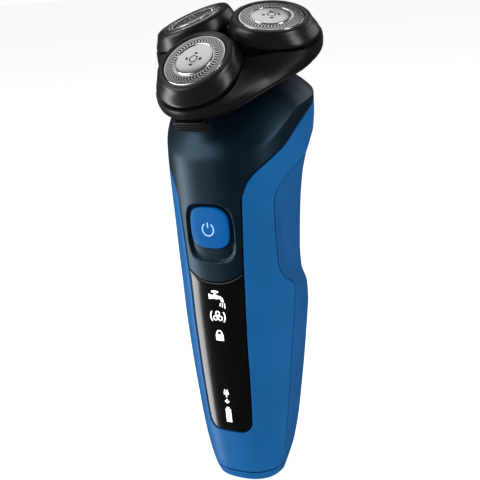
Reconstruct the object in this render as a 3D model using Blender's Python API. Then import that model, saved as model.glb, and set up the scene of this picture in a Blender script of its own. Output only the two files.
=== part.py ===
"""Rotary electric shaver: handle with inner drive, flip-open head, three tilting pods.

Millimetres in this file, metres in the scene. +Z up, the foot's underside at z = 0,
the display faces -Y. The head's own frame is H (centre of the guard plane) with
u = +X, v = up its slope to the back, n = its outward normal.
"""
import bpy
import bmesh
import math
from mathutils import Matrix, Vector

MM = 0.001

# ---------------------------------------------------------------- sizes, mm
GAP = 0.3                # clearance between neighbouring parts
SKIN = 2.0               # wall of the handle's outer pieces
SHELL_BACK_WALL = 1.3    # what is left of the shell behind the grip pad
GRIP_T = 1.2             # thickness of the rear grip pad
SEAM_Z0 = 3.3            # joint between foot and shell
SQ_F, SQ_B = 2.45, 2.4  # how square the front and back halves are

# height, half width, front, widest line, back
SECTIONS = (
    (0.0, 10.9, -10.8, -1.0, 7.6),
    (3.3, 12.2, -12.2, -1.0, 8.9),
    (6.0, 13.1, -12.8, -0.8, 10.1),
    (10.0, 14.3, -13.3, -0.4, 12.0),
    (15.0, 15.3, -14.0, 0.0, 13.6),
    (20.0, 16.1, -14.6, 0.4, 14.8),
    (30.0, 17.3, -15.5, 1.0, 16.6),
    (40.0, 18.4, -16.3, 1.6, 18.2),
    (50.0, 19.3, -17.0, 2.2, 19.7),
    (60.0, 20.1, -17.5, 2.8, 21.0),
    (70.0, 20.6, -17.8, 3.2, 21.8),
    (80.0, 21.1, -18.3, 3.6, 22.3),
    (90.0, 21.4, -18.9, 4.2, 23.0),
    (100.0, 21.9, -19.5, 5.0, 24.0),
    (110.0, 22.4, -20.0, 6.2, 25.2),
    (118.0, 22.9, -19.5, 7.5, 25.8),
    (125.0, 23.3, -18.6, 8.5, 26.0),
    (136.0, 23.3, -17.4, 9.0, 25.8),
)
RECESS = ((60.0, 0.0), (66.0, 0.5), (72.0, 2.4), (80.0, 3.0), (95.0, 2.9), (103.0, 2.2), (109.0, 0.8), (113.0, 0.0), (136.0, 0.0))
GRIP_EDGE = ((7.0, 90.0), (12.0, 83.0), (20.0, 80.5), (40.0, 80.7), (60.0, 82.5), (67.0, 84.0), (70.3, 80.3), (72.6, 70.7),
             (75.4, 64.9), (78.0, 62.4), (85.0, 61.0), (97.0, 59.7), (100.0, 60.3), (102.5, 63.1), (105.0, 68.9),
             (107.9, 78.5), (110.0, 90.0))
# seam between blue shell and navy collar, and the soft crease above it: y, z
SEAM = ((-19.0, 99.2), (-17.2, 99.6), (-17.0, 101.8), (-16.6, 104.3), (-16.0, 106.6), (-14.2, 109.3), (-9.9, 112.7), (-4.3, 116.3), (2.8, 121.8), (12.1, 126.4), (20.0, 128.6), (27.0, 129.6))
CREASE = ((-20.5, 113.0), (-18.6, 113.3), (-14.0, 116.0), (-9.7, 118.9), (-3.9, 123.0), (2.0, 127.0), (8.0, 128.4), (14.0, 129.6), (22.0, 131.8), (27.0, 132.4))
# half width of the front panel opening by height
PANEL = ((18.0, 7.6), (24.0, 8.1), (30.0, 8.5), (40.0, 9.0), (50.0, 9.3), (60.0, 9.7), (72.0, 10.1), (84.0, 10.7), (100.0, 11.6), (112.0, 12.2))
PANEL_Z0 = 19.4          # lower end of the display
DISPLAY_Z1 = 72.4        # upper end of the display at the middle
DISPLAY_DIP = 3.6        # how far its corners rise above that

BUTTON_Z, BUTTON_W, BUTTON_H = 91.0, 14.6, 13.8
BUTTON_T = 2.0
BUTTON_TRAVEL = 0.8

# head
HEAD_Y, HEAD_Z, HEAD_TILT = -4.405, 151.69, 25.49
POD_TILT = 14.56
GUARD_R, GUARD_T = 10.45, 0.5
POD_TOP_R = GUARD_R + 2.25
POD_FLANK_R, POD_FLANK_H = POD_TOP_R + 1.2, 4.9
POD_SPREAD = 1.45        # how much further the flank leans out on its outer side
SKIRT_R, SKIRT_WALL, SKIRT_H = GUARD_R + 1.55, 0.7, 8.0
POD_GAP = 2.0            # between neighbouring pods at their flanks
POD_R = (2 * POD_FLANK_R + POD_GAP) / math.sqrt(3)
LID_SEAM = 0.85          # gap under the pod's flank
LID_BOTTOM, LID_TOP = 13.6, 5.6
BASE_TOP, BASE_BOTTOM = 13.9, 15.3
BALL_DEPTH, BALL_R = 6.5, 1.5
CUTTER_R, CUTTER_HUB_R = GUARD_R - 1.25, 3.1
GEAR_T, GEAR_H0 = 2.2, 11.4      # gears fill h = 11.4 to 13.6
CENTRAL_TEETH, DRIVE_TEETH = 24, 20
BACKLASH = 0.34
HINGE_V, HINGE_H, HINGE_PIN_R, HINGE_FIT = POD_R / 2 + POD_FLANK_R + 0.4, 12.7, 0.9, 0.06
HINGE_EYE_R = 1.7
NECK_R, NECK_H = 12.4, 18.0       # rim of the collar's mouth
MOTOR_R, MOTOR_L = 9.0, 21.5
FRAME_H0, FRAME_H1 = 15.9, 20.0
TAB_V, TAB_W = 0.1 - POD_R - POD_FLANK_R, 5.3     # the release tab's front and half width

BATTERY_R, BATTERY_L = 7.1, 49.0
BOARD_T = 1.2
SOCKET_Y = -4.6
SOCKET_W, SOCKET_D, SOCKET_H, SOCKET_WALL = 8.6, 5.0, 8.0, 0.8
PIN_R, PIN_L, PIN_PITCH = 0.8, 3.4, 4.0
SCREW_R, SCREW_HEAD_R, SCREW_X, SCREW_Y = 0.9, 1.7, 5.8, 3.2

AXIS_DIST = POD_R - BALL_DEPTH * math.sin(math.radians(POD_TILT))
MODULE = 2 * AXIS_DIST / (CENTRAL_TEETH + DRIVE_TEETH)


# ---------------------------------------------------------------- numbers
def table(points, x):
    """Smooth monotone interpolation (Fritsch-Carlson slopes) through points."""
    n = len(points)
    if x <= points[0][0]:
        return points[0][1]
    if x >= points[-1][0]:
        return points[-1][1]
    k = max(i for i in range(n - 1) if points[i][0] <= x)

    def secant(i):
        return (points[i + 1][1] - points[i][1]) / (points[i + 1][0] - points[i][0])

    def slope(i):
        if i == 0:
            return secant(0)
        if i == n - 1:
            return secant(n - 2)
        a, b = secant(i - 1), secant(i)
        return 0.0 if a * b <= 0 else 2 * a * b / (a + b)

    x0, y0 = points[k]
    x1, y1 = points[k + 1]
    h = x1 - x0
    t = (x - x0) / h
    return ((1 + 2 * t) * (1 - t) ** 2 * y0 + t * (1 - t) ** 2 * h * slope(k)
            + t * t * (3 - 2 * t) * y1 + t * t * (t - 1) * h * slope(k + 1))


def column(i):
    return [(s[0], s[i]) for s in SECTIONS]


WIDTH, FRONT, MID, BACK = column(1), column(2), column(3), column(4)


def smooth(a, b, x):
    t = min(1.0, max(0.0, (x - a) / (b - a)))
    return t * t * (3 - 2 * t)


def skin(deg, z, off=0.0):
    """Point on the handle's surface: deg is 0 at the front, off goes inwards."""
    a = math.radians(deg)
    s, c = math.sin(a), math.cos(a)
    e = 2 / (SQ_F if c > 0 else SQ_B)
    w, f, m, b = table(WIDTH, z), table(FRONT, z), table(MID, z), table(BACK, z)
    turn = abs((deg + 180) % 360 - 180)
    off = off + table(RECESS, z) * smooth(table(GRIP_EDGE, z) - 2, table(GRIP_EDGE, z) + 16, turn) * (1 if z < 112 else 0)
    x = (w - off) * math.copysign(abs(s) ** e, s)
    y = m - (m - f - off) * abs(c) ** e if c > 0 else m + (b - m - off) * abs(c) ** e
    return Vector((x, y, z))


def on_curve(deg, curve, off=0.0, lift=0.0):
    """Point of the surface where its height meets a (y, z) curve."""
    z = 120.0
    for _ in range(40):
        z = 0.5 * z + 0.5 * (table(curve, skin(deg, z, 0.0).y) + lift)
    return skin(deg, z, off)


# ---------------------------------------------------------------- head frame
TAU, BETA = math.radians(HEAD_TILT), math.radians(POD_TILT)
H0 = Vector((0, HEAD_Y, HEAD_Z))
N_AX = Vector((0, -math.sin(TAU), math.cos(TAU)))
V_AX = Vector((0, math.cos(TAU), math.sin(TAU)))
U_AX = Vector((1, 0, 0))


def head_matrix():
    m = Matrix((U_AX, V_AX, N_AX)).transposed().to_4x4()
    m.translation = H0
    return m


HEAD = head_matrix()


def pod_matrix(angle):
    """Frame of one pod: x outwards, z its normal, origin on the guard plane."""
    a = math.radians(angle)
    e = math.cos(a) * U_AX + math.sin(a) * V_AX
    normal = math.cos(BETA) * N_AX + math.sin(BETA) * e
    out = math.cos(BETA) * e - math.sin(BETA) * N_AX
    m = Matrix((out, normal.cross(out), normal)).transposed().to_4x4()
    m.translation = H0 + POD_R * e
    return m


PODS = (("a", -90.0), ("b", 150.0), ("c", 30.0))


# ---------------------------------------------------------------- meshes
def make(name, verts, faces, matrix=None):
    bm = bmesh.new()
    vs = [bm.verts.new(matrix @ Vector(v) if matrix else Vector(v)) for v in verts]
    for f in faces:
        bm.faces.new([vs[i] for i in f])
    bmesh.ops.recalc_face_normals(bm, faces=bm.faces)
    if bm.calc_volume(signed=True) < 0:
        bmesh.ops.reverse_faces(bm, faces=bm.faces)
    mesh = bpy.data.meshes.new(name)
    bm.to_mesh(mesh)
    bm.free()
    obj = bpy.data.objects.new(name, mesh)
    bpy.context.scene.collection.objects.link(obj)
    return obj


def rings(name, loops, closed=False, matrix=None, cap="flat"):
    """Skin a run of equal point loops; closed joins the last to the first, else the ends are capped.

    cap is flat (one face), fan (round a centre point) or strip (across a C-shaped loop)."""
    n = len(loops[0])
    verts = [p for loop in loops for p in loop]
    faces = []
    count = len(loops)
    for k in range(count if closed else count - 1):
        a, b = k * n, ((k + 1) % count) * n
        for i in range(n):
            j = (i + 1) % n
            faces.append((a + i, a + j, b + j, b + i))
    if not closed and cap == "flat":
        faces += [tuple(range(n)), tuple(range((count - 1) * n, count * n))]
    elif not closed and cap == "strip":
        for k in (0, count - 1):
            faces += [(k * n + i, k * n + i + 1, k * n + n - 2 - i, k * n + n - 1 - i) for i in range(n // 2 - 1)]
    elif not closed:
        for k in (0, count - 1):
            centre = sum((Vector(p) for p in loops[k]), Vector()) / n
            verts.append(centre)
            c = len(verts) - 1
            for i in range(n):
                faces.append((k * n + i, k * n + (i + 1) % n, c))
    return make(name, verts, faces, matrix)


def lathe(name, profile, seg=32, closed=True, matrix=None):
    """Turn (r, z) points about z; a closed profile makes a ring, an open one must end at small caps."""
    loops = [[(r * math.cos(2 * math.pi * i / seg), r * math.sin(2 * math.pi * i / seg), z) for i in range(seg)] for r, z in profile]
    return rings(name, loops, closed, matrix)


def prism(name, outline, z0, z1, matrix=None):
    return rings(name, [[(x, y, z0) for x, y in outline], [(x, y, z1) for x, y in outline]], False, matrix)


def box(name, centre, size, matrix=None):
    (cx, cy, cz), (sx, sy, sz) = centre, size
    return prism(name, [(cx - sx / 2, cy - sy / 2), (cx + sx / 2, cy - sy / 2), (cx + sx / 2, cy + sy / 2), (cx - sx / 2, cy + sy / 2)],
                 cz - sz / 2, cz + sz / 2, matrix)


def combine(target, tool, how="DIFFERENCE"):
    """Boolean, applied at once; the tool is deleted."""
    mod = target.modifiers.new("cut", "BOOLEAN")
    mod.operation, mod.solver, mod.object = how, "EXACT", tool
    depsgraph = bpy.context.evaluated_depsgraph_get()
    mesh = bpy.data.meshes.new_from_object(target.evaluated_get(depsgraph))
    target.modifiers.clear()
    old = target.data
    target.data = mesh
    mesh.name = target.name
    bpy.data.meshes.remove(old)
    bpy.data.objects.remove(tool, do_unlink=True)
    bm = bmesh.new()
    bm.from_mesh(mesh)
    bmesh.ops.remove_doubles(bm, verts=bm.verts, dist=1e-5)
    bm.to_mesh(mesh)
    bm.free()
    return target


def squircle(w, h, m=3.2, seg=36, grow=0.0):
    out = []
    for i in range(seg):
        a = 2 * math.pi * i / seg
        s, c = math.sin(a), math.cos(a)
        out.append(((w / 2 + grow) * math.copysign(abs(c) ** (2 / m), c), (h / 2 + grow) * math.copysign(abs(s) ** (2 / m), s)))
    return out


def rounded_rect(w, h, r, seg=4):
    out = []
    for k, (sx, sy) in enumerate(((1, 1), (-1, 1), (-1, -1), (1, -1))):
        for i in range(seg + 1):
            a = math.pi / 2 * (k + i / seg)
            out.append((sx * (w / 2 - r) + r * math.cos(a), sy * (h / 2 - r) + r * math.sin(a)))
    return out


def triangle_r(theta, c, rho):
    """Radius of the outline round three circles (radius rho, centres at c) at theta degrees."""
    d = min(abs((theta - a + 180) % 360 - 180) for _, a in PODS)
    t = math.radians(d)
    if t <= math.atan2(rho * math.sin(math.pi / 3), c + rho / 2):
        return c * math.cos(t) + math.sqrt(max(0.0, rho * rho - (c * math.sin(t)) ** 2))
    return (c / 2 + rho) / math.cos(math.pi / 3 - t)


def lobes_r(theta, c, rho):
    """Radius of three overlapping circles at theta degrees."""
    d = min(abs((theta - a + 180) % 360 - 180) for _, a in PODS)
    t = math.radians(d)
    under = rho * rho - (c * math.sin(t)) ** 2
    return c * math.cos(t) + math.sqrt(max(0.0, under))


def outline(c, rho, full, h, scoop=0.0, seg=60):
    """Head outline at depth h: circles blended with their hull, drawn in between the pods by scoop."""
    out = []
    for i in range(seg):
        th = 360 * i / seg
        d = min(abs((th - a + 180) % 360 - 180) for _, a in PODS)
        r = full * triangle_r(th, c, rho) + (1 - full) * lobes_r(th, c, rho) - scoop * smooth(24, 60, d)
        out.append((r * math.cos(math.radians(th)), r * math.sin(math.radians(th)), -h))
    return out


# ---------------------------------------------------------------- handle
ROUND = [360 * i / 44 for i in range(44)]


def panel_outline(grow, z0, z1):
    """Front outline of the panel opening in (x, z), rounded at its foot."""
    right = []
    steps = 10
    foot = PANEL_Z0 - grow
    r = 4.2
    for i in range(steps + 1):
        a = math.pi / 2 * i / steps
        z = foot + r - r * math.cos(a)
        half = table(PANEL, foot + r) + grow
        right.append((half - r + r * math.sin(a), z))
    z = foot + r
    while z < z1 - 6:
        z += 6
        right.append((table(PANEL, z) + grow, z))
    right.append((table(PANEL, z1) + grow, z1))
    if z0 > foot:
        right = [(table(PANEL, z0) + grow, z0)] + [p for p in right if p[1] > z0 + 1]
    return right + [(-x, z) for x, z in reversed(right)]


def front_prism(name, outline_xz, y0=-40.0, y1=-3.0):
    return rings(name, [[(x, y0, z) for x, z in outline_xz], [(x, y1, z) for x, z in outline_xz]])


def front_patch(name, outline_xz, off0, off1):
    """Solid cut from the handle's skin by a front outline."""
    heights = [7.5 * k for k in range(2, 15)] + [109.0]
    degs = [-60 + 7.5 * k for k in range(17)]
    loops = []
    for z in heights:
        loops.append([skin(d, z, off0) for d in degs] + [skin(d, z, off1) for d in reversed(degs)])
    patch = rings(name, loops, cap="strip")
    return combine(patch, front_prism("tool", outline_xz), "INTERSECT")


def body_shell():
    levels = (0.0, 0.03, 0.08, 0.16, 0.28, 0.42, 0.53, 0.6, 0.66, 0.73, 0.81, 0.88, 0.94, 1.0)
    tops = [on_curve(d, SEAM, 0.0, -GAP).z for d in ROUND]

    def loop(t, off):
        return [skin(d, SEAM_Z0 + GAP + (top - SEAM_Z0 - GAP) * t, off) for d, top in zip(ROUND, tops)]

    outer = [loop(t, 0.0) for t in levels]
    inner = [loop(t, GRIP_T + GAP + 0.3 + SHELL_BACK_WALL) for t in (1.0, 0.88, 0.76, 0.64, 0.5, 0.3, 0.12, 0.0)]
    shell = rings("body_shell", outer + inner, True)
    combine(shell, front_prism("tool", panel_outline(GAP + 0.1, 0.0, 122.0)))
    combine(shell, grip_solid("tool", GAP + 0.2, -4.0, GRIP_T + GAP + 0.3))
    return shell


def grip_solid(name, grow, off0, off1):
    """The rear pad between two depths, its edge moved out by grow."""
    heights = [7.0, 9.5, 12.0, 20.0, 35.0, 50.0, 60.0, 66.0, 70.0, 72.4, 75.0, 79.0, 87.0, 95.0, 100.5, 103.0, 105.5, 107.6, 109.0, 110.0]
    lean = 180 / math.pi / 21.0
    if grow:
        heights = [heights[0] - grow] + heights
    loops = []
    for z in heights:
        g = table(GRIP_EDGE, z) - grow * lean
        z += grow * smooth(104.0, 109.0, z)
        cols = [g + (360 - 2 * g) * k / 14 for k in range(15)]
        loops.append([skin(d, z, off0) for d in cols] + [skin(d, z, off1) for d in reversed(cols)])
    return rings(name, loops, cap="strip")


def front_panel():
    seam = [on_curve(d, SEAM) for d in ROUND]
    crease = [on_curve(d, CREASE) for d in ROUND]
    mouth = [HEAD @ Vector((NECK_R * math.sin(math.radians(d)), -NECK_R * math.cos(math.radians(d)), -NECK_H)) for d in ROUND]

    def dome(t, drop):
        a = math.pi / 2 * t
        out = []
        for b, c in zip(crease, mouth):
            side, up = 0.35 * (1 - math.cos(a)) + 0.65 * t, 0.5 * math.sin(a) + 0.5 * t
            p = Vector((b.x + (c.x - b.x) * side, b.y + (c.y - b.y) * side, b.z + (c.z - b.z) * up))
            out.append(p - Vector((0, 0, drop)))
        return out

    mid = [skin(d, 0.5 * (a.z + b.z), 0.0) for d, a, b in zip(ROUND, seam, crease)]
    outer = [seam, mid, crease] + [dome(t, 0.0) for t in (0.25, 0.5, 0.75, 0.92, 1.0)]
    inner_mouth = [p - 1.6 * N_AX for p in mouth]
    inner_dome = [[p + (Vector((0, 6.0, 118.0)) - p).normalized() * SKIN for p in dome(t, 0.0)] for t in (0.75, 0.5, 0.25)]
    inner_crease = [skin(d, b.z - 1.6, SKIN) for d, b in zip(ROUND, crease)]
    inner_seam = [skin(d, a.z, SKIN) for d, a in zip(ROUND, seam)]
    collar = rings("front_panel", outer + [inner_mouth] + inner_dome + [inner_crease, inner_seam], True)
    panel = front_patch("tool", panel_outline(0.0, DISPLAY_Z1, 106.5), 0.0, SKIN)
    combine(panel, front_prism("tool2", lower_arc(GAP), -40, 0))
    combine(collar, panel, "UNION")
    hole = [(x, z + BUTTON_Z) for x, z in squircle(BUTTON_W, BUTTON_H, grow=GAP)]
    combine(collar, front_prism("tool", hole))
    return collar


def lower_arc(grow):
    """Outline of everything below the navy panel's curved lower edge."""
    pts = []
    for i in range(13):
        x = -16 + 32 * i / 12
        pts.append((x, DISPLAY_Z1 + grow + DISPLAY_DIP * min(1.0, abs(x) / 10.3) ** 2.4))
    return pts + [(16, 10), (-16, 10)]


def display_window():
    window = front_patch("display_window", panel_outline(0.0, 0.0, 84.0), 0.0, SKIN - 0.2)
    return combine(window, front_prism("tool2", lower_arc(0.0), -40, 0), "INTERSECT")


def plate_on(name, y_at, z0, z1, half, thick):
    """Flat board that leans with the front: y_at gives its middle plane."""
    y0, y1 = y_at(z0), y_at(z1)
    return rings(name, [[(-half, y0 - thick / 2, z0), (half, y0 - thick / 2, z0), (half, y0 + thick / 2, z0), (-half, y0 + thick / 2, z0)],
                        [(-half, y1 - thick / 2, z1), (half, y1 - thick / 2, z1), (half, y1 + thick / 2, z1), (-half, y1 + thick / 2, z1)]])


def board_y(z):
    return -8.1 - 0.052 * (z - 24)


def display_y(z):
    return -10.9 - 0.062 * (z - 23)


def power_button():
    face = front_patch("power_button", [(x, z + BUTTON_Z) for x, z in squircle(BUTTON_W, BUTTON_H)], 0.0, BUTTON_T)
    stem = rings("tool", [[(2 * math.cos(2 * math.pi * i / 16), y, BUTTON_Z + 2 * math.sin(2 * math.pi * i / 16)) for i in range(16)]
                          for y in (-18.0, board_y(BUTTON_Z) - BOARD_T / 2 - 1.5 - BUTTON_TRAVEL - GAP)])
    return combine(face, stem, "UNION")


def handle_insides():
    made = []
    made.append(plate_on("display_board", display_y, 24.0, 68.0, 6.6, 1.0))
    made.append(plate_on("main_board", board_y, 24.0, 97.0, 9.0, BOARD_T))
    y = board_y(BUTTON_Z) - BOARD_T / 2 - 0.4
    made.append(rings("switch_dome", [[(r * math.cos(2 * math.pi * i / 20), yy, BUTTON_Z + r * math.sin(2 * math.pi * i / 20)) for i in range(20)]
                                      for r, yy in ((3.0, y), (3.0, y - 0.6), (1.6, y - 1.1))]))
    cell = lathe("battery", [(BATTERY_R - 0.6, 13.0), (BATTERY_R, 13.6), (BATTERY_R, 13.0 + BATTERY_L - 0.8), (BATTERY_R - 0.8, 13.0 + BATTERY_L),
                             (2.6, 13.0 + BATTERY_L), (2.6, 14.2 + BATTERY_L)], 24, False, Matrix.Translation((0, 1.1, 0)))
    made.append(cell)
    return made


def foot():
    """Foot with its spigot, socket, pins and screws."""
    ring = [360 * i / 40 for i in range(40)]
    outer = [[skin(d, z, off) for d in ring] for z, off in ((0.0, 0.7), (0.5, 0.0), (SEAM_Z0, 0.0))]
    inner = [[skin(d, z, off) for d in ring] for z, off in ((SEAM_Z0 - 0.2, 3.4), (SEAM_Z0 + 3.2, 3.6))]
    cap = rings("base_cap", outer + inner)
    clear = rounded_rect(SOCKET_W + 2 * SOCKET_WALL + 2 * GAP, SOCKET_D + 2 * SOCKET_WALL + 2 * GAP, 2.4)
    cy = SOCKET_Y
    at = Matrix.Translation((0, cy, 0))
    combine(cap, prism("tool", clear, -1, 12, at))
    for side in (-1, 1):
        combine(cap, lathe("tool", [(SCREW_HEAD_R + GAP, -1.0), (SCREW_HEAD_R + GAP, 1.6), (SCREW_R + GAP, 1.6), (SCREW_R + GAP, 9.0)], 16, False,
                           Matrix.Translation((side * SCREW_X, SCREW_Y, 0))))
        screw = lathe("foot_screw_" + ("right" if side > 0 else "left"),
                      [(SCREW_HEAD_R, 0.5), (SCREW_HEAD_R, 1.3), (SCREW_R, 1.4), (SCREW_R, 8.0), (0.3, 8.6)], 16, False,
                      Matrix.Translation((side * SCREW_X, SCREW_Y, 0)))
        combine(screw, box("tool", (side * SCREW_X, SCREW_Y, 0.6), (2.2, 0.5, 0.6)))
    body = prism("charge_socket", rounded_rect(SOCKET_W + 2 * SOCKET_WALL, SOCKET_D + 2 * SOCKET_WALL, 2.1), 0.4, SOCKET_H + 1.6, at)
    combine(body, prism("tool", rounded_rect(SOCKET_W, SOCKET_D, 1.6), -1, SOCKET_H, at))
    for side, tag in ((-1, "left"), (1, "right")):
        pin_at = Matrix.Translation((side * PIN_PITCH / 2, cy, 0))
        combine(body, lathe("tool", [(PIN_R + 0.05, 2), (PIN_R + 0.05, 14)], 16, False, pin_at))
        lathe("charge_pin_" + tag, [(PIN_R - 0.35, SOCKET_H - PIN_L), (PIN_R, SOCKET_H - PIN_L + 0.4), (PIN_R, SOCKET_H + 2.6)], 16, False, pin_at)


# ---------------------------------------------------------------- drive
def gear(name, teeth, phase, bore, matrix):
    r = MODULE * teeth / 2
    half = (math.pi * MODULE / 2 - BACKLASH) / 2 / r
    root, tip = r - 1.15 * MODULE, r + 0.85 * MODULE
    pts = []
    for k in range(teeth):
        c = math.radians(phase) + 2 * math.pi * k / teeth
        for radius, spread in ((root, -1.45), (tip, -0.55), (tip, 0.55), (root, 1.45)):
            pts.append((radius * math.cos(c + spread * half), radius * math.sin(c + spread * half)))
    body = prism(name, pts, -GEAR_H0 - GEAR_T, -GEAR_H0, matrix)
    return combine(body, lathe("tool", [(bore, -30), (bore, 0)], 20, False, matrix))


def drive():
    gear("central_gear", CENTRAL_TEETH, 0.0, 2.4, HEAD)
    lathe("drive_shaft", [(1.2, -FRAME_H1 - 0.0), (1.2, -FRAME_H0), (2.2, -FRAME_H0 + 0.2), (2.2, -GEAR_H0 + 1.0), (1.6, -GEAR_H0 + 1.6)], 12, False, HEAD)
    for tag, angle in PODS:
        a = math.radians(angle)
        at = HEAD @ Matrix.Translation((AXIS_DIST * math.cos(a), AXIS_DIST * math.sin(a), 0))
        gear("drive_gear_" + tag, DRIVE_TEETH, angle + 180 + 180 / DRIVE_TEETH, 1.6, at)
        ball = -BALL_DEPTH * math.cos(BETA)
        lathe("spindle_" + tag, [(1.5, -GEAR_H0 - GEAR_T), (1.5, -GEAR_H0 + 0.3), (2.2, -GEAR_H0 + 0.3), (2.2, -GEAR_H0 + 1.0), (1.1, ball - 1.6), (1.1, ball - 1.1),
                                 (BALL_R, ball - 0.2), (BALL_R, ball + 0.3), (0.7, ball + 1.2)], 12, False, at)
    lathe("motor", [(MOTOR_R - 1.2, -FRAME_H1 - GAP - MOTOR_L), (MOTOR_R, -FRAME_H1 - GAP - MOTOR_L + 1.2), (MOTOR_R, -FRAME_H1 - GAP - 0.5), (MOTOR_R - 0.5, -FRAME_H1 - GAP)], 28, False, HEAD)
    seat = lathe("motor_frame", [(NECK_R - GAP, -FRAME_H1), (NECK_R - GAP, -FRAME_H0), (2.6, -FRAME_H0), (2.6, -FRAME_H1)], 28, True, HEAD)
    return seat


# ---------------------------------------------------------------- head
def head_lid():
    levels = ((LID_BOTTOM, -3.41, 2.6, 0.95, 0.0), (12.6, -3.11, 2.9, 0.95, 0.3), (11.0, -2.71, 2.9, 0.95, 1.2),
              (9.0, -2.21, 2.5, 0.95, 2.8), (7.0, -1.81, 1.9, 0.9, 4.8), (LID_TOP, -1.51, 1.1, 0.85, 6.2))
    lid = rings("head_lid", [outline(POD_R + c, POD_FLANK_R + r, f, h, s) for h, c, r, f, s in levels], False, HEAD)
    combine(lid, hinge_land())
    e, v0, h0 = HINGE_EYE_R, HINGE_V, -HINGE_H
    for side in (-1, 1):
        ear = knuckle(side * 8.0, 3.0, [(v0, h0 - e), (v0 - e, -LID_BOTTOM - 0.0), (v0 - 3.6, -LID_BOTTOM + 0.4), (v0 - 3.6, h0 + e - 0.3), (v0, h0 + e)])
        combine(ear, hinge_bore())
        combine(lid, ear, "UNION")
    low, well = -POD_FLANK_H - LID_SEAM, POD_FLANK_R + 2.5
    wells = [lathe("tool", [(SKIRT_R + 0.75, low - 12.0), (SKIRT_R + 0.75, low), (well, low), (well, 20.0)], 32, False, pod_matrix(a)) for _, a in PODS]
    combine(wells[0], wells[1], "UNION")
    combine(wells[0], wells[2], "UNION")
    combine(wells[0], lathe("tool", [(MODULE * CENTRAL_TEETH / 2 + 1.5, -18.0), (MODULE * CENTRAL_TEETH / 2 + 1.5, -9.4)], 36, False, HEAD), "UNION")
    return combine(lid, wells[0])


def hinge_land():
    """What is cut away behind the hinge's flat at the back of the head."""
    return box("tool", (0, HINGE_V - HINGE_EYE_R - 0.5 + 5, -14.0), (23.0, 10.0, 12.0), HEAD)


def hinge_bore():
    return lathe("tool", [(HINGE_PIN_R + HINGE_FIT, -14), (HINGE_PIN_R + HINGE_FIT, 14)], 20, False, hinge_matrix())


def hinge_matrix():
    m = Matrix(((0, 0, 1), (1, 0, 0), (0, 1, 0))).to_4x4()
    return HEAD @ Matrix.Translation((0, HINGE_V, -HINGE_H)) @ m


def knuckle(x, width, foot_points):
    """Hinge eye of the given width; foot_points close its (v, n) outline on the head's side."""
    pts = [(HINGE_V + HINGE_EYE_R * math.cos(a), -HINGE_H + HINGE_EYE_R * math.sin(a)) for a in (-math.pi / 2 + math.pi * i / 8 for i in range(1, 8))]
    pts += list(reversed(foot_points))
    return rings("tool", [[(x - width / 2, v, h) for v, h in pts], [(x + width / 2, v, h) for v, h in pts]], False, HEAD)


def head_base():
    levels = ((BASE_BOTTOM, -4.21, 0.7), (BASE_BOTTOM - 0.5, -4.01, 1.4), (BASE_TOP, -3.71, 2.0))
    plate = rings("head_base", [outline(POD_R + c, POD_FLANK_R + r, 0.95, h) for h, c, r in levels], False, HEAD)
    combine(plate, box("tool", (0, TAB_V + 0.6, -14.6), (2 * TAB_W + 0.8, 5.0, 4.0), HEAD))
    combine(plate, hinge_land())
    combine(plate, lathe("tool", [(3.0, -30), (3.0, 0)], 24, False, HEAD))
    e, v0, h0 = HINGE_EYE_R, HINGE_V, -HINGE_H
    combine(plate, knuckle(0, 11.2, [(v0, h0 - e), (v0 - e, -BASE_BOTTOM + 0.6), (v0 - 4.2, -BASE_BOTTOM + 0.6), (v0 - 4.2, -BASE_TOP - 0.1),
                                     (v0 - e, -BASE_TOP - 0.1), (v0 - e, h0 + e - 0.5), (v0 - 0.6, h0 + e)]), "UNION")
    combine(plate, hinge_bore())
    return plate


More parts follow.
